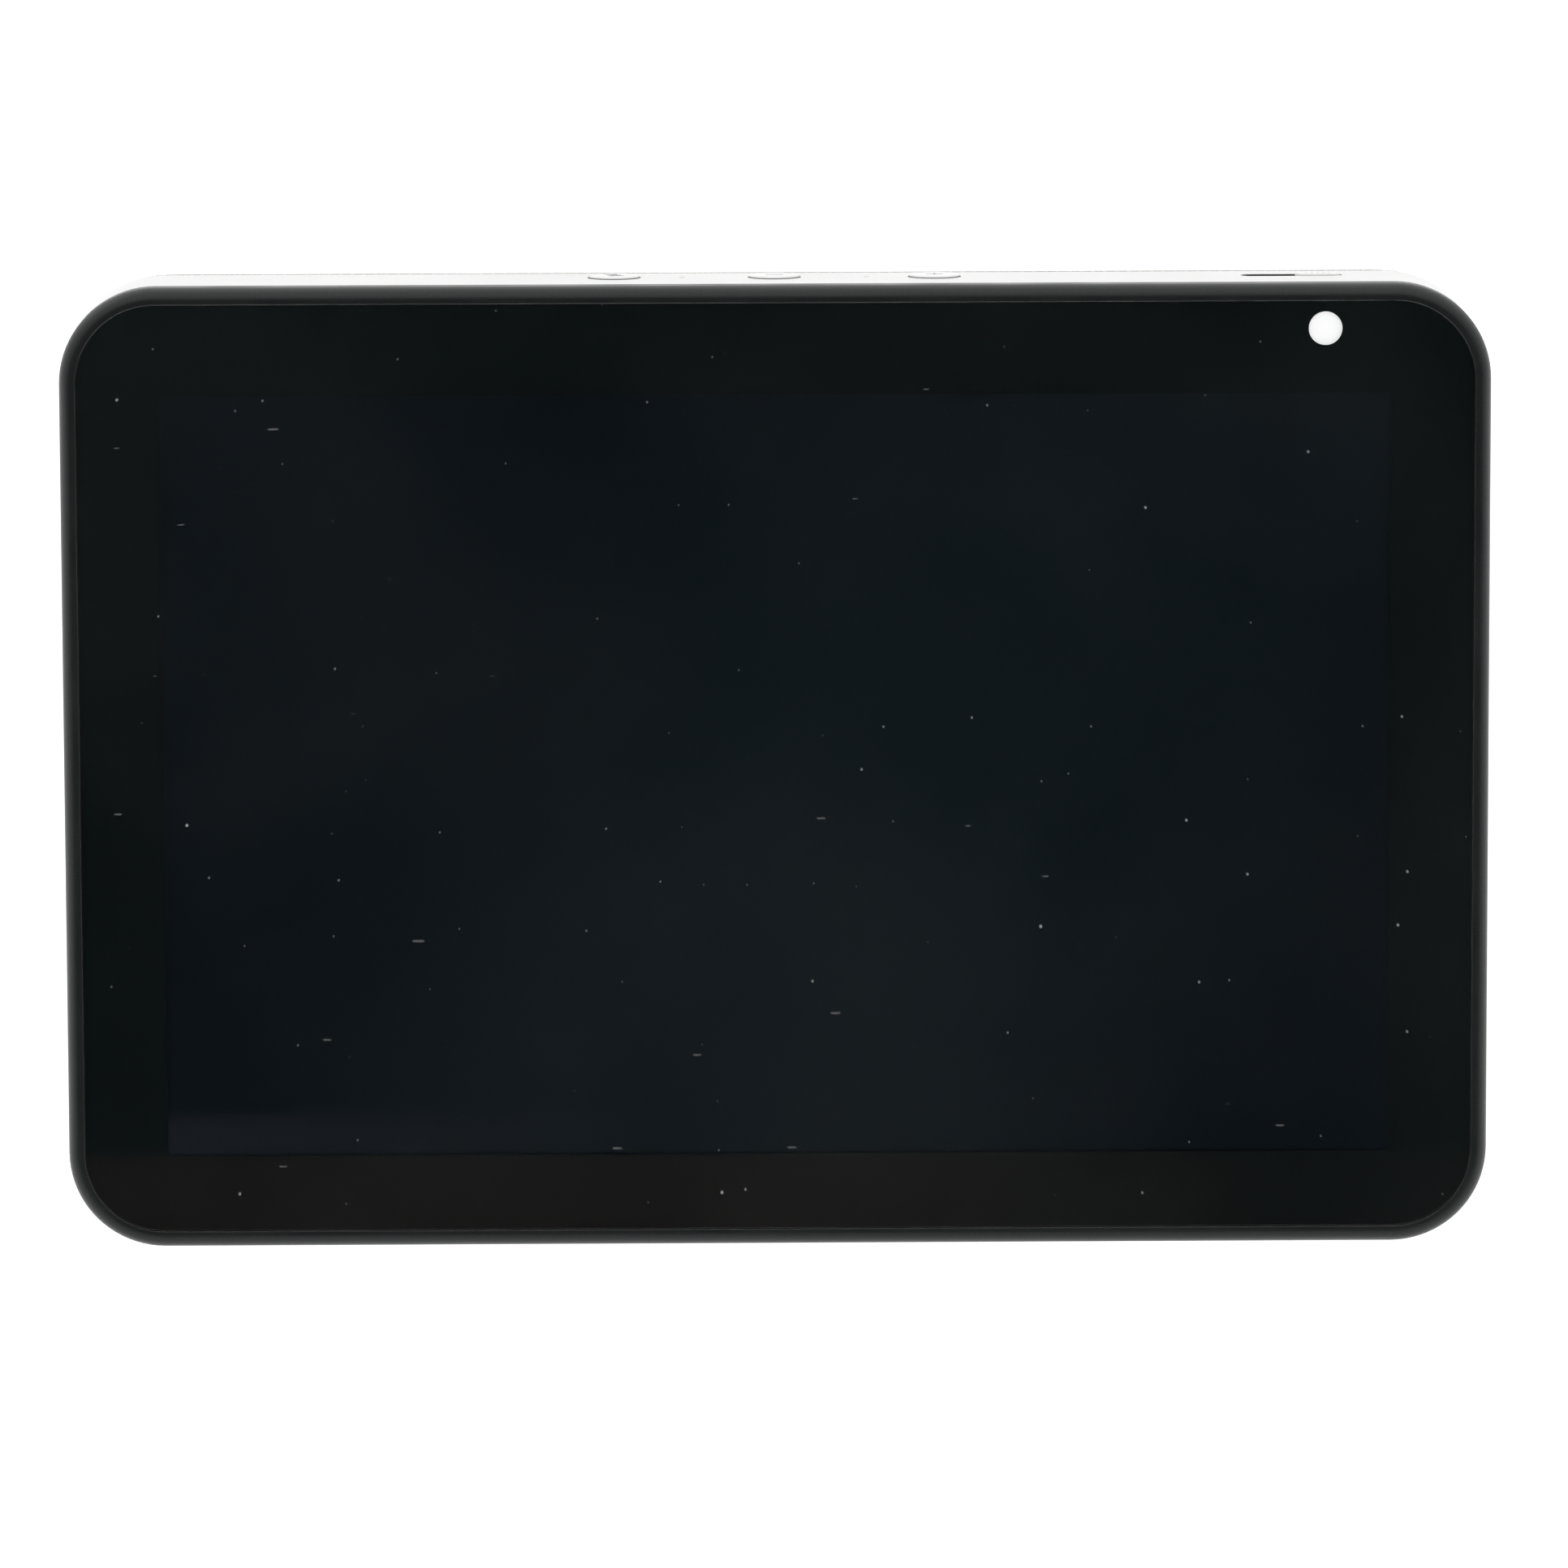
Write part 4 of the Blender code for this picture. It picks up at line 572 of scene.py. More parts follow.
# The shutter's blade gives off some light, so that it reads white inside its dark recess.
BRIGHT_WHITE = moulded("shutter_brightened_white", (0.93, 0.93, 0.93), 0.5, drift=0.01,
                       Emission_Strength=0.66, Emission_Color=(1.0, 1.0, 1.0, 1.0))
RIM_BLACK = make_rim_finish()
GLASS = make_glass_finish()
INK = make_ink_finish()
SCREEN_DARK = make_screen_finish()
FABRIC = make_fabric_finish()
SHELL = moulded("shell_plastic_grain", (0.55, 0.55, 0.54), 0.55, grain=0.3 * MM, depth=0.02 * MM)
BLACK = moulded("inner_black_plastic_grain", (0.022, 0.022, 0.024), 0.45)
PRINT = moulded("icon_print", (0.38, 0.385, 0.39), 0.55)
# Painted shade: the grey of the thin ring that darkens the gap round each button.
GAP_SHADE_GREY = moulded("button_gap_painted_shade", (0.30, 0.30, 0.305), 0.7)
RUBBER = moulded("foot_rubber_grain", (0.23, 0.23, 0.235), 0.80, grain=0.5 * MM, depth=0.04 * MM)
SOFT_RUBBER = moulded("surround_rubber_grain", (0.018, 0.018, 0.019), 0.62, grain=0.4 * MM, depth=0.02 * MM)
ALUMINIUM = metal("brushed_aluminium", (0.80, 0.81, 0.83), 0.36)
TRAY = metal("rolled_tray_steel", (0.60, 0.61, 0.62), 0.34, (5 * MM, 0.12 * MM, 0.12 * MM))
SHIELD = metal("tinned_steel", (0.74, 0.74, 0.72), 0.30)
BASKET = metal("pressed_basket_steel", (0.40, 0.41, 0.42), 0.42)
SCREW = metal("zinc_screw_steel", (0.62, 0.63, 0.66), 0.28, (0.2 * MM, 0.2 * MM, 0.05 * MM))
IRON = metal("cast_weight_iron", (0.23, 0.23, 0.24), 0.62, (0.5 * MM, 0.5 * MM, 0.5 * MM), 0.05 * MM)
LENS = make_lens_finish()

SLOT_FINISH = {
    "cover_glass": GLASS, "black_plastic": RIM_BLACK, "lcd_face": SCREEN_DARK, "tray_steel": TRAY,
    "chassis_aluminium": ALUMINIUM, "white_plastic": WHITE, "shell_plastic": SHELL, "fabric": FABRIC,
    "foot_rubber": RUBBER, "weight_iron": IRON, "inner_black_plastic": BLACK,
    "circuit_board": make_board_finish(), "shield_steel": SHIELD, "flex_circuit": make_flex_finish(),
    "lens_glass": LENS, "speaker_cone": make_cone_finish(), "driver_steel": BASKET,
    "surround_rubber": SOFT_RUBBER, "screw_steel": SCREW,
}


def finish_cad_nodes():
    """Every CAD node gets the procedural finish of its material slot."""
    for node in NODES.values():
        for slot in node.material_slots:
            slot.material = SLOT_FINISH[slot.material.name]


# --- Front -------------------------------------------------------------------------------------
def panel_outline(inset):
    width, height = 2 * (RIM_HIGH.x - inset), 2 * (RIM_HIGH.y - inset)
    return rounded_rectangle(width, height, PANEL_CORNER - inset)


def make_rim():
    """The black rim: its section, as (inset, height) points, swept round the panel."""
    back, face = RIM_LOW.z, -RIM_SET_BACK
    edge = 0.25 * MM
    shoulder = GLASS_LOW.z - GAP
    front = arc((RIM_ROUND, face - RIM_ROUND), RIM_ROUND, 180, 90, 10)
    section = [(RIM_LIP + RIM_LEDGE, back), (edge, back), *arc((edge, back + edge), edge, 240, 180, 3)]
    section += [(inset, height) for inset, height in front]
    lip = RIM_HIGH.x - GLASS_HIGH.x - SEAM
    section += [(lip - 2 * SEAM, face), (lip, face - 2 * SEAM), (lip, shoulder)]
    section.append((RIM_LIP + RIM_LEDGE, shoulder))
    bm = loft([(panel_outline(inset), height) for inset, height in section], ring=True)
    piece("front_rim", bm, RIM_BLACK, replaced=["front_frame"], axes=SCREEN)


def glass_outline(inset):
    width, height = 2 * (GLASS_HIGH.x - inset), 2 * (GLASS_HIGH.y - inset)
    return rounded_rectangle(width, height, GLASS_CORNER - inset)


def make_glass():
    """A clear pane with polished edges, and the black ink printed on its back round two windows."""
    ink_front = GLASS_LOW.z + INK_THICKNESS
    pane = prism(glass_outline, ink_front + 0.01 * MM, 0.0, 0.15 * MM, GLASS_ROUND)
    piece("glass_pane", pane, GLASS, replaced=["cover_glass"], axes=SCREEN)
    window = rounded_rectangle(ACTIVE_WIDTH, ACTIVE_HEIGHT, 0.4 * MM, (0, ACTIVE_TOP - ACTIVE_HEIGHT / 2), 4)
    lens_low, lens_high = box_in(SCREEN, "camera_lens")
    camera = ((lens_low.x + lens_high.x) / 2, (lens_low.y + lens_high.y) / 2)
    mask = plate([glass_outline(0.2 * MM), window, circle(WINDOW_RADIUS, camera)], GLASS_LOW.z, ink_front)
    piece("ink_mask", mask, INK, axes=SCREEN)


def make_screen():
    """The display's face behind the pane."""
    low, high = box_in(SCREEN, "lcd_panel")
    size, middle = high - low, (low + high) / 2
    face = rectangle_prism(size.x, size.y, 1.0 * MM, (middle.x, middle.y), low.z, high.z, 0.1 * MM, 0.1 * MM)
    piece("screen_face", face, SCREEN_DARK, replaced=["lcd_panel"], axes=SCREEN)


def make_lens():
    """The camera's front element: a dome on a short cylinder."""
    low, high = box_in(SCREEN, "camera_lens")
    centre = ((low.x + high.x) / 2, (low.y + high.y) / 2)
    radius = high.x - centre[0]
    rise = 0.4 * MM
    dome = [(radius * math.sin(math.radians(a)), high.z - rise + rise * math.cos(math.radians(a)))
            for a in (8, 24, 40, 56, 72, 90)]
    bm = turned([*dome, (radius, low.z)], centre, 40)
    piece("lens_dome", bm, LENS, replaced=["camera_lens"], axes=SCREEN)


# --- White ring --------------------------------------------------------------------------------
def ring_outline(inset):
    width, height = 2 * (RING_HIGH.x - inset), 2 * (RING_HIGH.y - inset)
    return rounded_rectangle(width, height, RING_CORNER - inset)


def top_centre(node):
    """Middle of a node in the ring's top face axes, as (x, y)."""
    low, high = box_in(TOP_FACE, node)
    return ((low.x + high.x) / 2, (low.y + high.y) / 2)


BUTTON_PLACES = {name: top_centre(name + "_button") for name in ("mic_off", "volume_down", "volume_up")}
BUTTON_DEPTH = BUTTON_PLACES["volume_up"][1]
BLADE_LOW, BLADE_HIGH = box_in(SCREEN, "shutter_blade")
SLIDER_LOW, SLIDER_HIGH = box_in(TOP_FACE, "shutter_slider")
KNOB_X = SLIDER_HIGH.x - 0.6 * MM - KNOB_LENGTH / 2
SHUTTER_TRAVEL = next(j["range_m"][1] for j in frame["joints"] if j["name"] == "camera_shutter_slide")
SLOT_X = KNOB_X - SHUTTER_TRAVEL / 2


def make_ring():
    """The white ring: an outer wall with softened edges, four screw bosses and the openings in its top."""
    front, back, edge = RING_HIGH.z, RING_LOW.z, RING_EDGE
    section = [(RING_WALL, back), (edge, back), *arc((edge, back + edge), edge, 240, 180, 3),
               *arc((edge, front - edge), edge, 180, 90, 4), (RING_WALL, front)]
    ring = loft([(ring_outline(inset), height) for inset, height in section], ring=True)
    screws = [box_in(SCREEN, f"chassis_screw_{k}") for k in (1, 2, 3, 4)]
    corners = [((low.x + high.x) / 2, (low.y + high.y) / 2) for low, high in screws]
    ring = fused(ring, *[turned([(BOSS_RADIUS, BOSS_BACK), (BOSS_RADIUS, BOSS_FRONT)], place, 32)
                         for place in corners])
    ring = cut(ring, *[turned([(SCREW_HOLE, BOSS_BACK - MM), (SCREW_HOLE, BOSS_FRONT + MM)], place, 24)
                       for place in corners])
    deep, above = -RING_WALL - 1 * MM, 1 * MM
    tools = [turned([(BUTTON_RADIUS + GAP, deep), (BUTTON_RADIUS + GAP, above)], place)
             for place in BUTTON_PLACES.values()]
    mic_hole = [(MIC_HOLE_RADIUS, deep), (MIC_HOLE_RADIUS, above)]
    tools += [turned(mic_hole, (side * MIC_OFFSET, BUTTON_DEPTH), 20) for side in (-1, 1)]
    slot = rounded_rectangle(SLOT_LENGTH, SLOT_WIDTH, SLOT_WIDTH / 2 - 0.01 * MM, (SLOT_X, BUTTON_DEPTH), 12)
    tools.append(loft([(slot, deep), (slot, above)]))
    to_screen = SCREEN.inverted() @ TOP_FACE
    for tool in tools:
        tool.transform(to_screen)
    piece("ring_shell", cut(ring, *tools), WHITE, replaced=["housing_ring"], axes=SCREEN)


def make_slot_liner():
    """A thin dark liner round the inside walls of the shutter's slot."""
    thickness = 0.18 * MM
    clear = 0.01 * MM
    deep, top = -RING_WALL + 0.1 * MM, -0.04 * MM

    def outline(inset):
        length, width = SLOT_LENGTH - 2 * inset, SLOT_WIDTH - 2 * inset
        return rounded_rectangle(length, width, width / 2 - clear, (SLOT_X, BUTTON_DEPTH), 12)

    liner = loft([(outline(clear), deep), (outline(clear), top), (outline(thickness), top),
                  (outline(thickness), deep)], ring=True)
    piece("slot_liner", liner, BLACK, axes=TOP_FACE)


def bar(start, end, width, steps=6):
    """Outline of a stroke with round ends."""
    run = Vector(end) - Vector(start)
    turn = math.degrees(math.atan2(run.y, run.x))
    radius = width / 2
    return arc(start, radius, turn + 90, turn + 270, steps) + arc(end, radius, turn - 90, turn + 90, steps)


def icon_strokes():
    """Flat outlines of the three generic marks: a crossed-out microphone, minus and plus."""
    stroke, reach = ICON_STROKE, 1.1 * MM
    minus = bar((-reach, 0), (reach, 0), stroke)
    middle, cradle_radius = (0, 0.35 * MM), 1.0 * MM
    cradle = arc(middle, cradle_radius, 180, 360, 16) + arc(middle, cradle_radius - stroke, 360, 180, 16)
    microphone = [bar((0, 0.35 * MM), (0, 1.15 * MM), 0.95 * MM, 10), cradle,
                  bar((0, -0.55 * MM), (0, -1.2 * MM), stroke),
                  bar((-0.55 * MM, -1.25 * MM), (0.55 * MM, -1.25 * MM), stroke),
                  bar((-1.35 * MM, 1.5 * MM), (1.35 * MM, -1.5 * MM), stroke)]
    return {"mic_off": microphone, "volume_down": [minus],
            "volume_up": [minus, bar((0, -reach), (0, reach), stroke)]}


def make_buttons():
    """Round caps held in by a flange, each with its mark printed on top."""
    strokes = icon_strokes()
    edge = 0.3 * MM
    for name, place in BUTTON_PLACES.items():
        low = box_in(TOP_FACE, name + "_button")[0].z
        under_wall = low + FLANGE_THICKNESS
        rounded = [(x, z) for x, z in arc((BUTTON_RADIUS - edge, BUTTON_PROUD - edge), edge, 90, 0, 5)]
        profile = [(BUTTON_RADIUS - 2 * edge, BUTTON_PROUD), *rounded, (BUTTON_RADIUS, under_wall),
                   (FLANGE_RADIUS, under_wall), (FLANGE_RADIUS, low)]
        piece(name + "_cap", turned(profile, place), WHITE_SMOOTH, name + "_key",
              [name + "_button"], TOP_FACE)
        # Painted shade: a thin grey ring round each cap, standing for the shade in the gap between cap and
        # ring.
        shade_ring_low, bore = GAP_SHADE_TOP - 2 * MM, BUTTON_RADIUS - 0.01 * MM
        shade_ring = turned([(BUTTON_RADIUS + GAP_SHADE_WIDTH, shade_ring_low), (BUTTON_RADIUS + GAP_SHADE_WIDTH, GAP_SHADE_TOP)], place)
        collar = cut(shade_ring, turned([(bore, shade_ring_low - MM), (bore, GAP_SHADE_TOP + MM)], place))
        piece(name + "_gap_shade_ring", collar, GAP_SHADE_GREY, name + "_key", axes=TOP_FACE)
        marks = [loft([(outline, BUTTON_PROUD - 0.02 * MM), (outline, BUTTON_PROUD + ICON_PROUD)])
                 for outline in strokes[name]]
        icon = fused(marks[0], *marks[1:]) if len(marks) > 1 else marks[0]
        icon.transform(Matrix.Translation((*place, 0)))
        piece(name + "_icon", icon, PRINT, name + "_key", axes=TOP_FACE)


def make_shutter():
    """The slider: a ridged knob on the carrier that holds the white blade behind the glass."""
    under_wall = -RING_WALL - GAP
    width = SLOT_WIDTH - 2 * GAP
    knob = rectangle_prism(KNOB_LENGTH, width, width / 2 - 0.01 * MM, (KNOB_X, BUTTON_DEPTH),
                           under_wall - 0.6 * MM, KNOB_PROUD, 0.05 * MM, 0.2 * MM)
    ridges = [rectangle_prism(0.36 * MM, width - 0.9 * MM, 0.17 * MM, (KNOB_X + k * 0.8 * MM, BUTTON_DEPTH),
                              KNOB_PROUD - 0.1 * MM, KNOB_PROUD + 0.12 * MM, 0.02 * MM, 0.1 * MM)
              for k in (-2, -1, 0, 1, 2)]
    arm_left, arm_right = SLIDER_LOW.x, SLIDER_LOW.x + 1.8 * MM
    front = -box_in(SCREEN, "camera_bracket")[0].z + GAP
    blade_mid = (BLADE_LOW.y + BLADE_HIGH.y) / 2 - RING_HIGH.y
    carrier = block((arm_left, front, under_wall - 0.9 * MM), (SLIDER_HIGH.x, SLIDER_HIGH.y, under_wall))
    riser = block((arm_left, -RING_HIGH.z + GAP, blade_mid + 1.2 * MM),
                  (arm_right, front + 1 * MM, under_wall - 0.6 * MM))
    arm = block((arm_left, SLIDER_LOW.y, SLIDER_LOW.z), (arm_right, front, blade_mid + 1.6 * MM))
    piece("shutter_knob", fused(knob, *ridges, carrier, riser, arm), WHITE_SMOOTH,
          "camera_shutter", ["shutter_slider"], TOP_FACE)
    size, middle = BLADE_HIGH - BLADE_LOW, (BLADE_LOW + BLADE_HIGH) / 2
    blade = rectangle_prism(size.x, size.y, 0.8 * MM, (middle.x, middle.y), BLADE_LOW.z, BLADE_HIGH.z,
                            0.1 * MM, 0.1 * MM)
    piece("shutter_leaf", blade, BRIGHT_WHITE, "camera_shutter", ["shutter_blade"], SCREEN)


# --- Fabric body -------------------------------------------------------------------------------
def bezier(points, t):
    """Point at t on a Bezier curve of any degree."""
    points = [Vector(p) for p in points]
    while len(points) > 1:
        points = [a.lerp(b, t) for a, b in zip(points, points[1:])]
    return points[0]


def on_screen(height, depth):
    """World (Y, Z) of a point on the screen's middle line: height up the screen, depth behind it."""
    place = SCREEN @ Vector((0, height, -depth))
    return (place.y, place.z)


BODY_FRONT = -RING_LOW.z + GAP


def body_curves():
    """Control points of the body's top line, as (Y, Z), and of its right-hand plan line, as (X, Y)."""
    top = on_screen(RING_HIGH.y, BODY_FRONT)
    front_low_y = on_screen(-RING_HIGH.y, BODY_FRONT)[0]
    run, drop = 24.0 * MM, 50.0 * MM
    handle = (top[0] + run * math.cos(TILT), top[1] - run * math.sin(TILT))
    profile = (top, handle, (BACK_Y, BACK_HEIGHT + drop), (BACK_Y, BACK_HEIGHT))
    side_run, back_run, back_rise = 48.0 * MM, 22.0 * MM, 16.0 * MM
    plan = ((RING_HIGH.x, front_low_y), (RING_HIGH.x, front_low_y + side_run),
            (BACK_HALF_WIDTH + back_run, BACK_Y - back_rise), (BACK_HALF_WIDTH, BACK_Y))
    return profile, plan


def section_at(t, inset=0.0):
    """One section of the body: base Y and Z, top Y and Z, half width and the two corner radii."""
    profile, plan = body_curves()
    (top_y, top_z), (half_width, base_y) = bezier(profile, t), bezier(plan, t)
    shoulder, back_corner, base_corner = 34.0 * MM, 10.0 * MM, 8.0 * MM
    top_radius = (1 - t) ** 2 * RING_CORNER + 2 * t * (1 - t) * shoulder + t * t * back_corner
    base_radius = (1 - t) ** 2 * RING_CORNER + (1 - (1 - t) ** 2) * base_corner
    return {"base": (base_y, FOOT_HEIGHT), "top": (top_y, top_z), "half_width": half_width,
            "top_radius": top_radius, "base_radius": base_radius, "inset": inset}


def rear_sections(last, steps=8):
    """Sections that carry the body round the edge of its flat back."""
    made = []
    start = Vector((last["half_width"], last["base"][0]))
    corner = Vector((BACK_HALF_WIDTH, BACK_Y))
    reach = (corner - start).length
    for k in range(1, steps + 1):
        u = k / steps
        plan = bezier((start, corner, corner - Vector((reach, 0))), u)
        top = bezier((last["top"], (BACK_Y, BACK_HEIGHT), (BACK_Y, BACK_HEIGHT - reach)), u)
        made.append({**last, "half_width": plan.x, "base": (plan.y, FOOT_HEIGHT + 0.6 * reach * u * u),
                     "top": tuple(top), "top_radius": last["top_radius"] + (8 * MM - last["top_radius"]) * u,
                     "base_radius": last["base_radius"] + (6 * MM - last["base_radius"]) * u})
    return made


def section_outline(section, steps):
    """Points of one section, from the left end of its base line round over the top to the right end."""
    (base_y, base_z), (top_y, top_z) = section["base"], section["top"]
    height = math.hypot(top_z - base_z, top_y - base_y)
    inset = section["inset"]
    base_radius, top_radius = section["base_radius"] - inset, section["top_radius"] - inset
    half_width = section["half_width"] - inset
    x, x_top = half_width - base_radius, half_width - top_radius
    straight = 6
    low = arc((-x, inset + base_radius), base_radius, 270, 180, steps)
    high = arc((-x_top, height - inset - top_radius), top_radius, 180, 90, steps)
    side = [tuple(Vector(low[-1]).lerp(Vector(high[0]), k / straight)) for k in range(1, straight)]
    flat = low + side + high
    across = [(-x_top + 2 * x_top * k / 24, height - inset) for k in range(1, 24)]
    flat += across + [(-px, py) for px, py in reversed(flat)]
    lean_y, lean_z = (top_y - base_y) / height, (top_z - base_z) / height
    return [(px, base_y + py * lean_y, base_z + py * lean_z) for px, py in flat]


def hem_line(outlines):
    """Where the fabric ends under the body, for each section: the base line's right end moved in."""
    edge = [Vector(outline[-1]).xy for outline in outlines]
    moved = []
    for k, point in enumerate(edge):
        run = (edge[min(k + 1, len(edge) - 1)] - edge[max(k - 1, 0)]).normalized()
        moved.append((point.x - run.y * HEM, point.y + run.x * HEM))
    return moved


def fabric_surface():
    """The outer face of the fabric, turned in along the ring and under the body, closed over the back."""
    steps, bands = 12, 40
    profile, _ = body_curves()
    lead = 3 * (Vector(profile[1]) - Vector(profile[0])).length
    sections = []
    for k in range(FILLET_STEPS):
        a = math.radians(90 * k / FILLET_STEPS)
        sections.append(section_at(FABRIC_ROUND * (1 - math.cos(a)) / lead, FABRIC_ROUND * (1 - math.sin(a))))
    start = FABRIC_ROUND / lead
    stop = 1.0 - REAR_ROUND / (3 * math.hypot(22 * MM, 16 * MM))
    sections += [section_at(start + (stop - start) * k / bands) for k in range(bands + 1)]
    outlines = [section_outline(section, steps) for section in sections]
    hems = hem_line(outlines)
    bm = bmesh.new()
    rows = []
    for outline, (hem_x, hem_y) in zip(outlines, hems):
        left, right = (-hem_x, hem_y, outline[0][2]), (hem_x, hem_y, outline[-1][2])
        rows.append([bm.verts.new(p) for p in (left, *outline, right)])
    for a, b in zip(rows, rows[1:]):
        for k in range(len(a) - 1):
            bm.faces.new((a[k], a[k + 1], b[k + 1], b[k]))
    rear = [rows[-1][1:-1]]
    for section in rear_sections(sections[-1]):
        rear.append([bm.verts.new(p) for p in section_outline(section, steps)])
    last = rows[-1]
    bm.faces.new((last[0], last[1], last[-2], last[-1]))
    for a, b in zip(rear, rear[1:]):
        for k in range(len(a)):
            bm.faces.new((a[k], a[(k + 1) % len(a)], b[(k + 1) % len(a)], b[k]))
    bm.faces.new(rear[-1])
    bmesh.ops.recalc_face_normals(bm, faces=bm.faces)
    if sum(face.normal.z * face.calc_area() for face in bm.faces) < 0:
        bmesh.ops.reverse_faces(bm, faces=bm.faces)
    return bm


def lay_weave(bm):
    """Flat cloth coordinates in metres, unwrapped with little stretch and turned to lie level."""
    made = object_from("fabric", bm)
    made.data.uv_layers.new(name="surface")
    bpy.context.view_layer.objects.active = made
    made.select_set(True)
    bpy.ops.object.mode_set(mode="EDIT")
    bpy.ops.mesh.select_all(action="SELECT")
    bpy.ops.uv.unwrap(method="MINIMUM_STRETCH", margin=0.0)
    bpy.ops.object.mode_set(mode="OBJECT")
    flat = bmesh.new()
    flat.from_mesh(made.data)
    bpy.data.objects.remove(made)
    layer = flat.loops.layers.uv["surface"]
    top = max(vertex.co.z for vertex in flat.verts)
    level = [loop for face in flat.faces for loop in face.loops
             if loop.vert.co.z > top - 20 * MM and abs(loop.vert.co.x) < 60 * MM]
    left = min(level, key=lambda loop: (round(loop.vert.co.x, 6), -loop.vert.co.z))
    right = max(level, key=lambda loop: (round(loop.vert.co.x, 6), loop.vert.co.z))
    run = right[layer].uv - left[layer].uv
    scale = (right.vert.co - left.vert.co).length / run.length
    turn = Matrix.Rotation(-math.atan2(run.y, run.x), 2)
    origin = left[layer].uv.copy()
    for face in flat.faces:
        for loop in face.loops:
            loop[layer].uv = scale * (turn @ (loop[layer].uv - origin)) + Vector((0.001, 0.001))
    return flat


def make_fabric():
    """The woven skin stretched over the rear shell, with the port panel's window cut in it."""
    skin = object_from("fabric", lay_weave(fabric_surface()))
    thicken = skin.modifiers.new("thickness", "SOLIDIFY")
    thicken.thickness = FABRIC_THICKNESS
    thicken.offset = -1
    thicken.use_even_offset = True
    width = PORT_HIGH.x - PORT_LOW.x + 2 * GAP
    low, high = PORT_LOW.y - GAP, PORT_HIGH.y + 6 * MM
    outline = rounded_rectangle(width, high - low, PORT_CORNER + GAP, (0, (low + high) / 2), 12)
    window = loft([(outline, -12 * MM), (outline, 3 * MM)])
    window.transform(BACK)
    bm = cut(evaluated(skin), window)
    made = piece("fabric_skin", bm, FABRIC, replaced=["fabric_cover"], sharp=40.0)


# --- Back and underside ------------------------------------------------------------------------
def centre_of(node):
    low, high = box_in(BACK, node)
    return ((low.x + high.x) / 2, (low.y + high.y) / 2)


def make_ports():
    """The port panel with softened edges, and the three sockets seen through it."""
    dc, usb, audio = (centre_of(node) for node in ("dc_jack", "micro_usb_port", "audio_jack"))
    size, middle = PORT_HIGH - PORT_LOW, (PORT_LOW + PORT_HIGH) / 2
    panel = rectangle_prism(size.x, size.y, PORT_CORNER, (middle.x, middle.y), PORT_LOW.z, PORT_HIGH.z,
                            0.1 * MM, 0.4 * MM)

    def countersunk(outline_at):
        """A cutter that widens at the panel's face."""
        bevel = 0.4 * MM
        return loft([(outline_at(0.0), PORT_LOW.z - MM), (outline_at(0.0), PORT_HIGH.z - bevel),
                     (outline_at(bevel), PORT_HIGH.z), (outline_at(bevel), PORT_HIGH.z + MM)])

    panel = cut(panel, countersunk(lambda grow: circle(DC_RADIUS + GAP + grow, dc)),
                countersunk(lambda grow: circle(AUDIO_RADIUS + GAP + grow, audio)),
                countersunk(lambda grow: rounded_rectangle(8.4 * MM + 2 * grow, 3.6 * MM + 2 * grow,
                                                           1.0 * MM + grow, usb, 8)))
    piece("port_plate", panel, WHITE, replaced=["port_panel"], axes=BACK)
    for node, centre, radius, bore in (("dc_jack", dc, DC_RADIUS, DC_BORE),
                                       ("audio_jack", audio, AUDIO_RADIUS, AUDIO_BORE)):
        low, high = box_in(BACK, node)
        lip = 0.3 * MM
        floor = high.z - 10.5 * MM
        profile = [(radius, low.z), (radius, high.z - lip), (radius - lip, high.z), (bore + lip, high.z),
                   (bore, high.z - lip), (bore, floor)]
        if node == "dc_jack":
            profile += [(1.0 * MM, floor), (1.0 * MM, high.z - 1.8 * MM), (0.6 * MM, high.z - 1.2 * MM)]
        piece(node.replace("jack", "socket"), turned(profile, centre), BLACK,
              replaced=[node], axes=BACK)
    low, high = box_in(BACK, "micro_usb_port")
    bottom, narrow = low.y, 1.1 * MM

    def usb_outline(inset):
        """The trapezoid of the small socket: wider above than below, with clipped lower corners."""
        x, top, base = (high.x - low.x) / 2 - inset, low.y + inset, high.y - inset
        points = [(-x, top), (x, top), (x, base - narrow), (x - narrow, base), (narrow - x, base),
                  (-x, base - narrow)]
        return [(usb[0] + px, py) for px, py in points]

    shell = loft([(usb_outline(0.0), low.z), (usb_outline(0.0), high.z)])
    cavity = loft([(usb_outline(0.3 * MM), high.z - 5.2 * MM), (usb_outline(0.3 * MM), high.z + MM)])
    tongue = block((usb[0] - 2.6 * MM, bottom + 0.7 * MM, high.z - 5.6 * MM),
                   (usb[0] + 2.6 * MM, bottom + 1.3 * MM, high.z - 0.8 * MM))
    piece("micro_usb_socket", fused(cut(shell, cavity), tongue), SHIELD,
          replaced=["micro_usb_port"], axes=BACK)


def make_foot():
    """The rubber foot, with rounded edges and shallow grooves round its underside."""
    low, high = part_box("rubber_foot")
    size = high - low
    corner = 20.0 * MM
    foot = rectangle_prism(size.x, size.y, corner, (0, 0), low.z, high.z, 0.5 * MM, 0.1 * MM)
    grooves = []
    for k in range(3):
        inset = (4 + 4 * k) * MM
        groove = 0.8 * MM
        outer = rounded_rectangle(size.x - 2 * inset, size.y - 2 * inset, corner - inset)
        inner = rounded_rectangle(size.x - 2 * (inset + groove), size.y - 2 * (inset + groove),
                                  corner - inset - groove)
        depth = low.z + 0.35 * MM
        below = low.z - MM
        grooves.append(loft([(outer, below), (outer, depth), (inner, depth), (inner, below)], ring=True))
    piece("foot_pad", cut(foot, *grooves), RUBBER, replaced=["rubber_foot"])


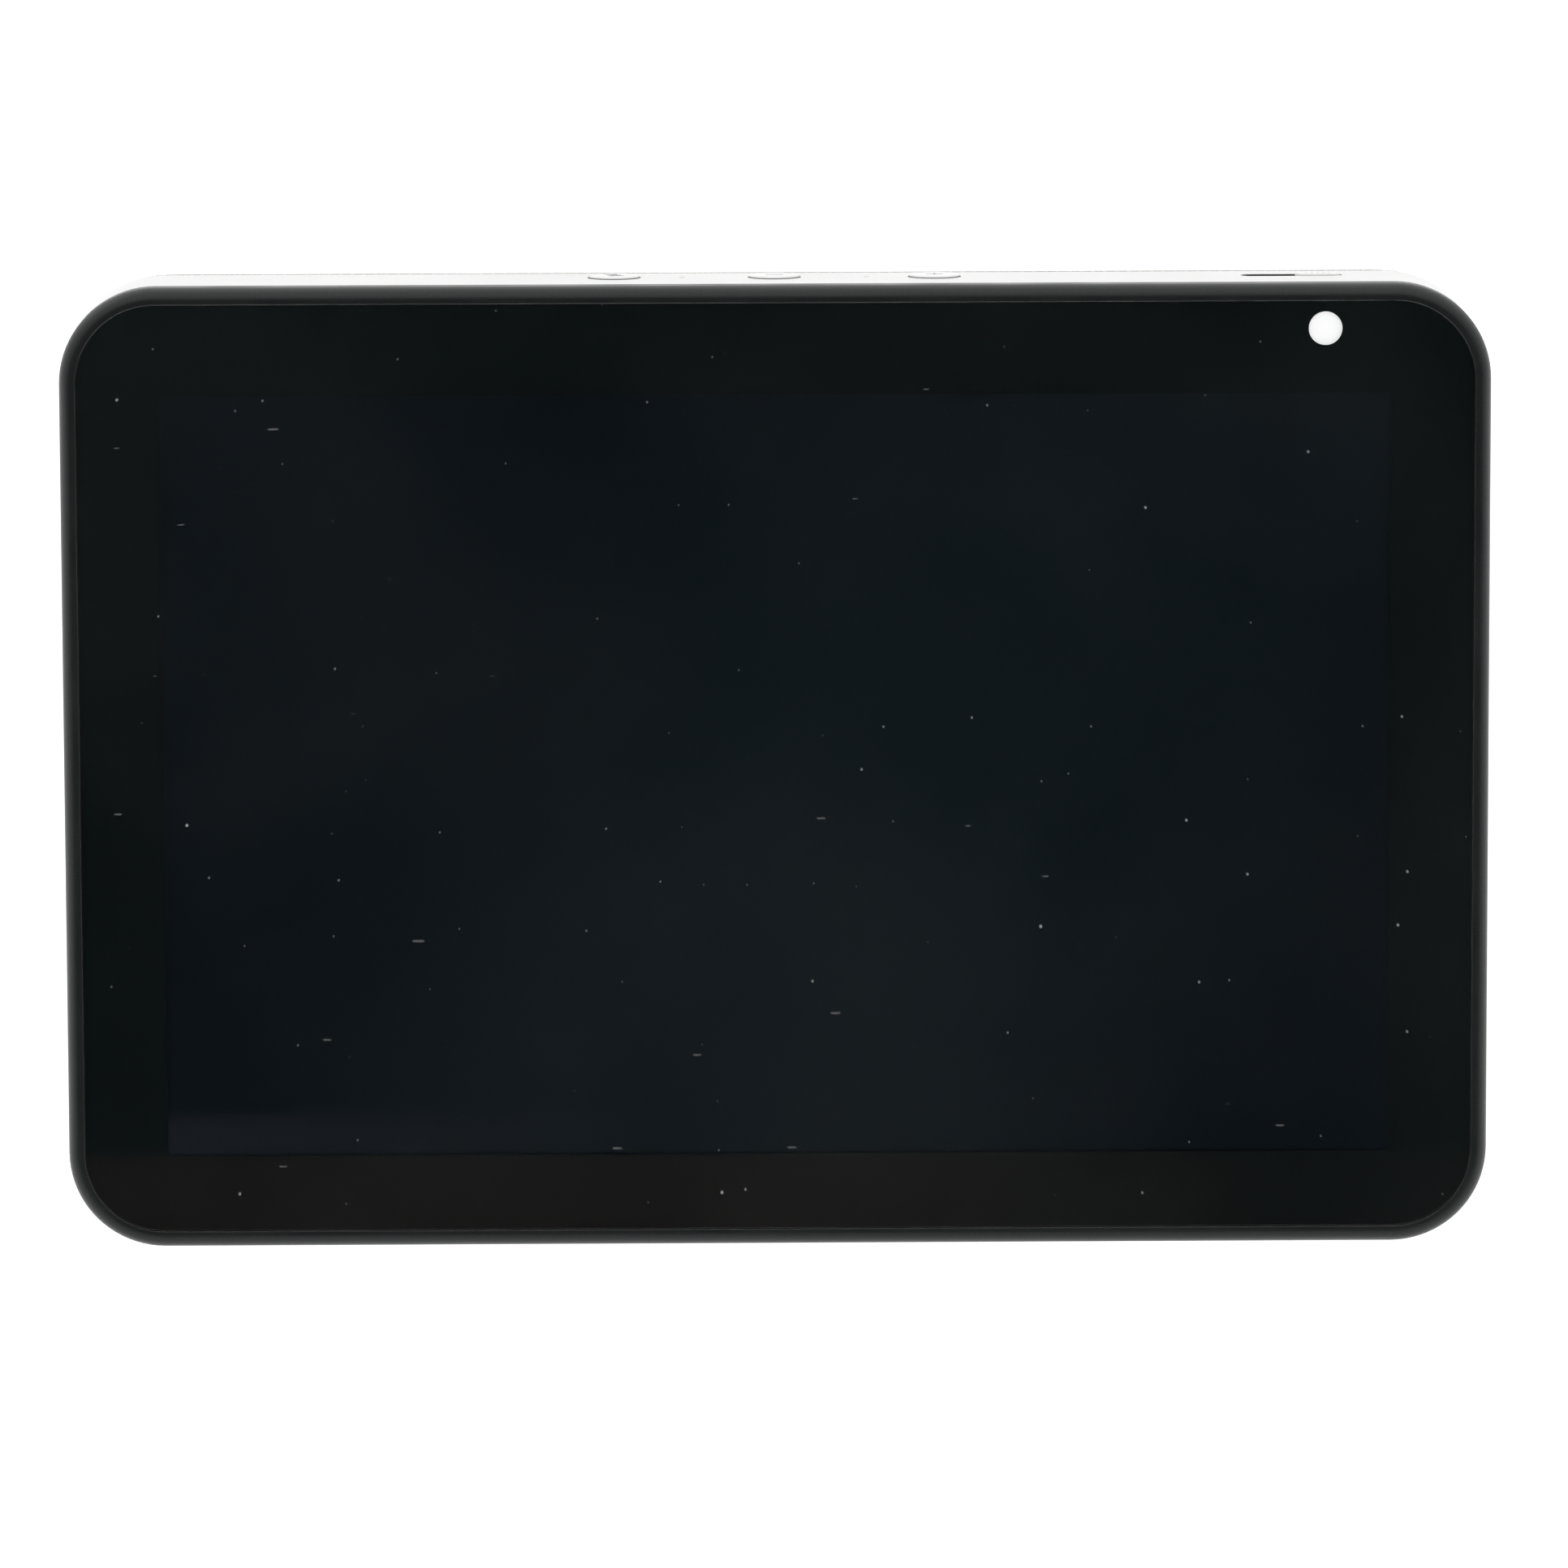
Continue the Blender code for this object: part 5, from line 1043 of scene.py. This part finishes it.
# --- Stage -------------------------------------------------------------------------------------
CAMERA_DISTANCE = 1.350
CAMERA_ELEVATION = math.radians(27.9)
CAMERA_AZIMUTH = math.radians(-0.5)
CAMERA_LENS = 220.3  # mm, on a 36 mm sensor
AIM_RIGHT = 1.02 * MM  # where the camera points, from a spot just behind the middle of the glass
AIM_UP = -2.38 * MM


def make_camera():
    data = bpy.data.cameras.new("camera")
    data.lens = CAMERA_LENS
    data.sensor_width = 36.0
    data.clip_start, data.clip_end = 0.05, 50.0
    camera = linked("camera", data)
    back = Vector((math.sin(CAMERA_AZIMUTH) * math.cos(CAMERA_ELEVATION),
                   -math.cos(CAMERA_AZIMUTH) * math.cos(CAMERA_ELEVATION), math.sin(CAMERA_ELEVATION)))
    spot = SCREEN @ Vector((0, 0, -2 * MM))
    camera.location = spot + CAMERA_DISTANCE * back
    right = Vector((0, 0, 1)).cross(back).normalized()
    aim = spot + AIM_RIGHT * right + AIM_UP * back.cross(right)
    camera.rotation_mode = "QUATERNION"
    camera.rotation_quaternion = (aim - camera.location).to_track_quat("-Z", "Y")
    bpy.context.scene.camera = camera


def make_floor():
    """A pale, softly lit flat table that reaches out to the backdrop's white."""
    half = 6.0
    bm = bmesh.new()
    bmesh.ops.create_grid(bm, x_segments=8, y_segments=8, size=half)
    made = object_from("floor", bm)
    look = Finish("pale_floor", Roughness=0.9, Specular_IOR_Level=0.1, Emission_Strength=0.45)
    look.set("Base Color", look.mix(look.noise(0.08, 3), (0.84, 0.84, 0.84), (0.88, 0.88, 0.88)))
    look.shader.inputs["Emission Color"].default_value = (1.0, 1.0, 1.0, 1.0)
    made.data.materials.append(look.material)


def make_world():
    """A white studio, brightest high in front, with a small dark card low in front of the screen."""
    world = bpy.data.worlds.new("studio")
    world.use_nodes = True
    bpy.context.scene.world = world
    tree = world.node_tree
    direction = add_node(tree, "ShaderNodeTexCoord").outputs["Generated"]

    def patch(elevation, inner, outer, middle, outside, widen=1.0):
        """Strength by direction: middle within the inner angle of a point in front, outside past the outer.

        A widen below 1 stretches the patch sideways."""
        height = math.radians(elevation)
        centre = (0.0, -math.cos(height), math.sin(height))
        squeezed = add_node(tree, "ShaderNodeVectorMath", {0: direction, 1: (widen, 1.0, 1.0)},
                            operation="MULTIPLY").outputs["Vector"]
        unit = add_node(tree, "ShaderNodeVectorMath", {0: squeezed}, operation="NORMALIZE").outputs["Vector"]
        nearness = add_node(tree, "ShaderNodeVectorMath", {0: unit, 1: centre}, operation="DOT_PRODUCT")
        return add_node(tree, "ShaderNodeMapRange", {
            "Value": nearness.outputs["Value"], "From Min": math.cos(math.radians(outer)),
            "From Max": math.cos(math.radians(inner)), "To Min": outside, "To Max": middle,
        }, interpolation_type="SMOOTHSTEP").outputs["Result"]

    sky = patch(elevation=50, inner=12, outer=50, middle=1.40, outside=0.82)
    card = patch(elevation=12, inner=13, outer=30, middle=0.004, outside=1.0, widen=0.42)
    strength = add_node(tree, "ShaderNodeMath", {0: sky, 1: card}, operation="MULTIPLY").outputs["Value"]
    background = tree.nodes["Background"]
    tree.links.new(strength, background.inputs["Strength"])
    background.inputs["Color"].default_value = (1.0, 1.0, 1.0, 1.0)


def make_lights():
    """Two large soft panels, over the left and the right shoulder of the object."""
    for name, place, power, size in (("left_panel", (-1.3, 0.4, 1.5), 3.0, 1.2),
                                     ("right_panel", (1.4, 0.2, 1.2), 1.2, 1.2)):
        data = bpy.data.lights.new(name, "AREA")
        data.shape = "SQUARE"
        data.size = size
        data.energy = power
        lamp = linked(name, data)
        lamp.location = place
        lamp.rotation_mode = "QUATERNION"
        lamp.rotation_quaternion = (-Vector(place)).to_track_quat("-Z", "Y")


def make_object():
    finish_cad_nodes()
    make_rim()
    make_glass()
    make_screen()
    make_lens()
    make_ring()
    make_slot_liner()
    make_buttons()
    make_shutter()
    make_fabric()
    make_ports()
    make_foot()


make_camera()
make_floor()
make_world()
make_lights()
make_object()
bpy.context.scene.view_settings.view_transform = "Standard"
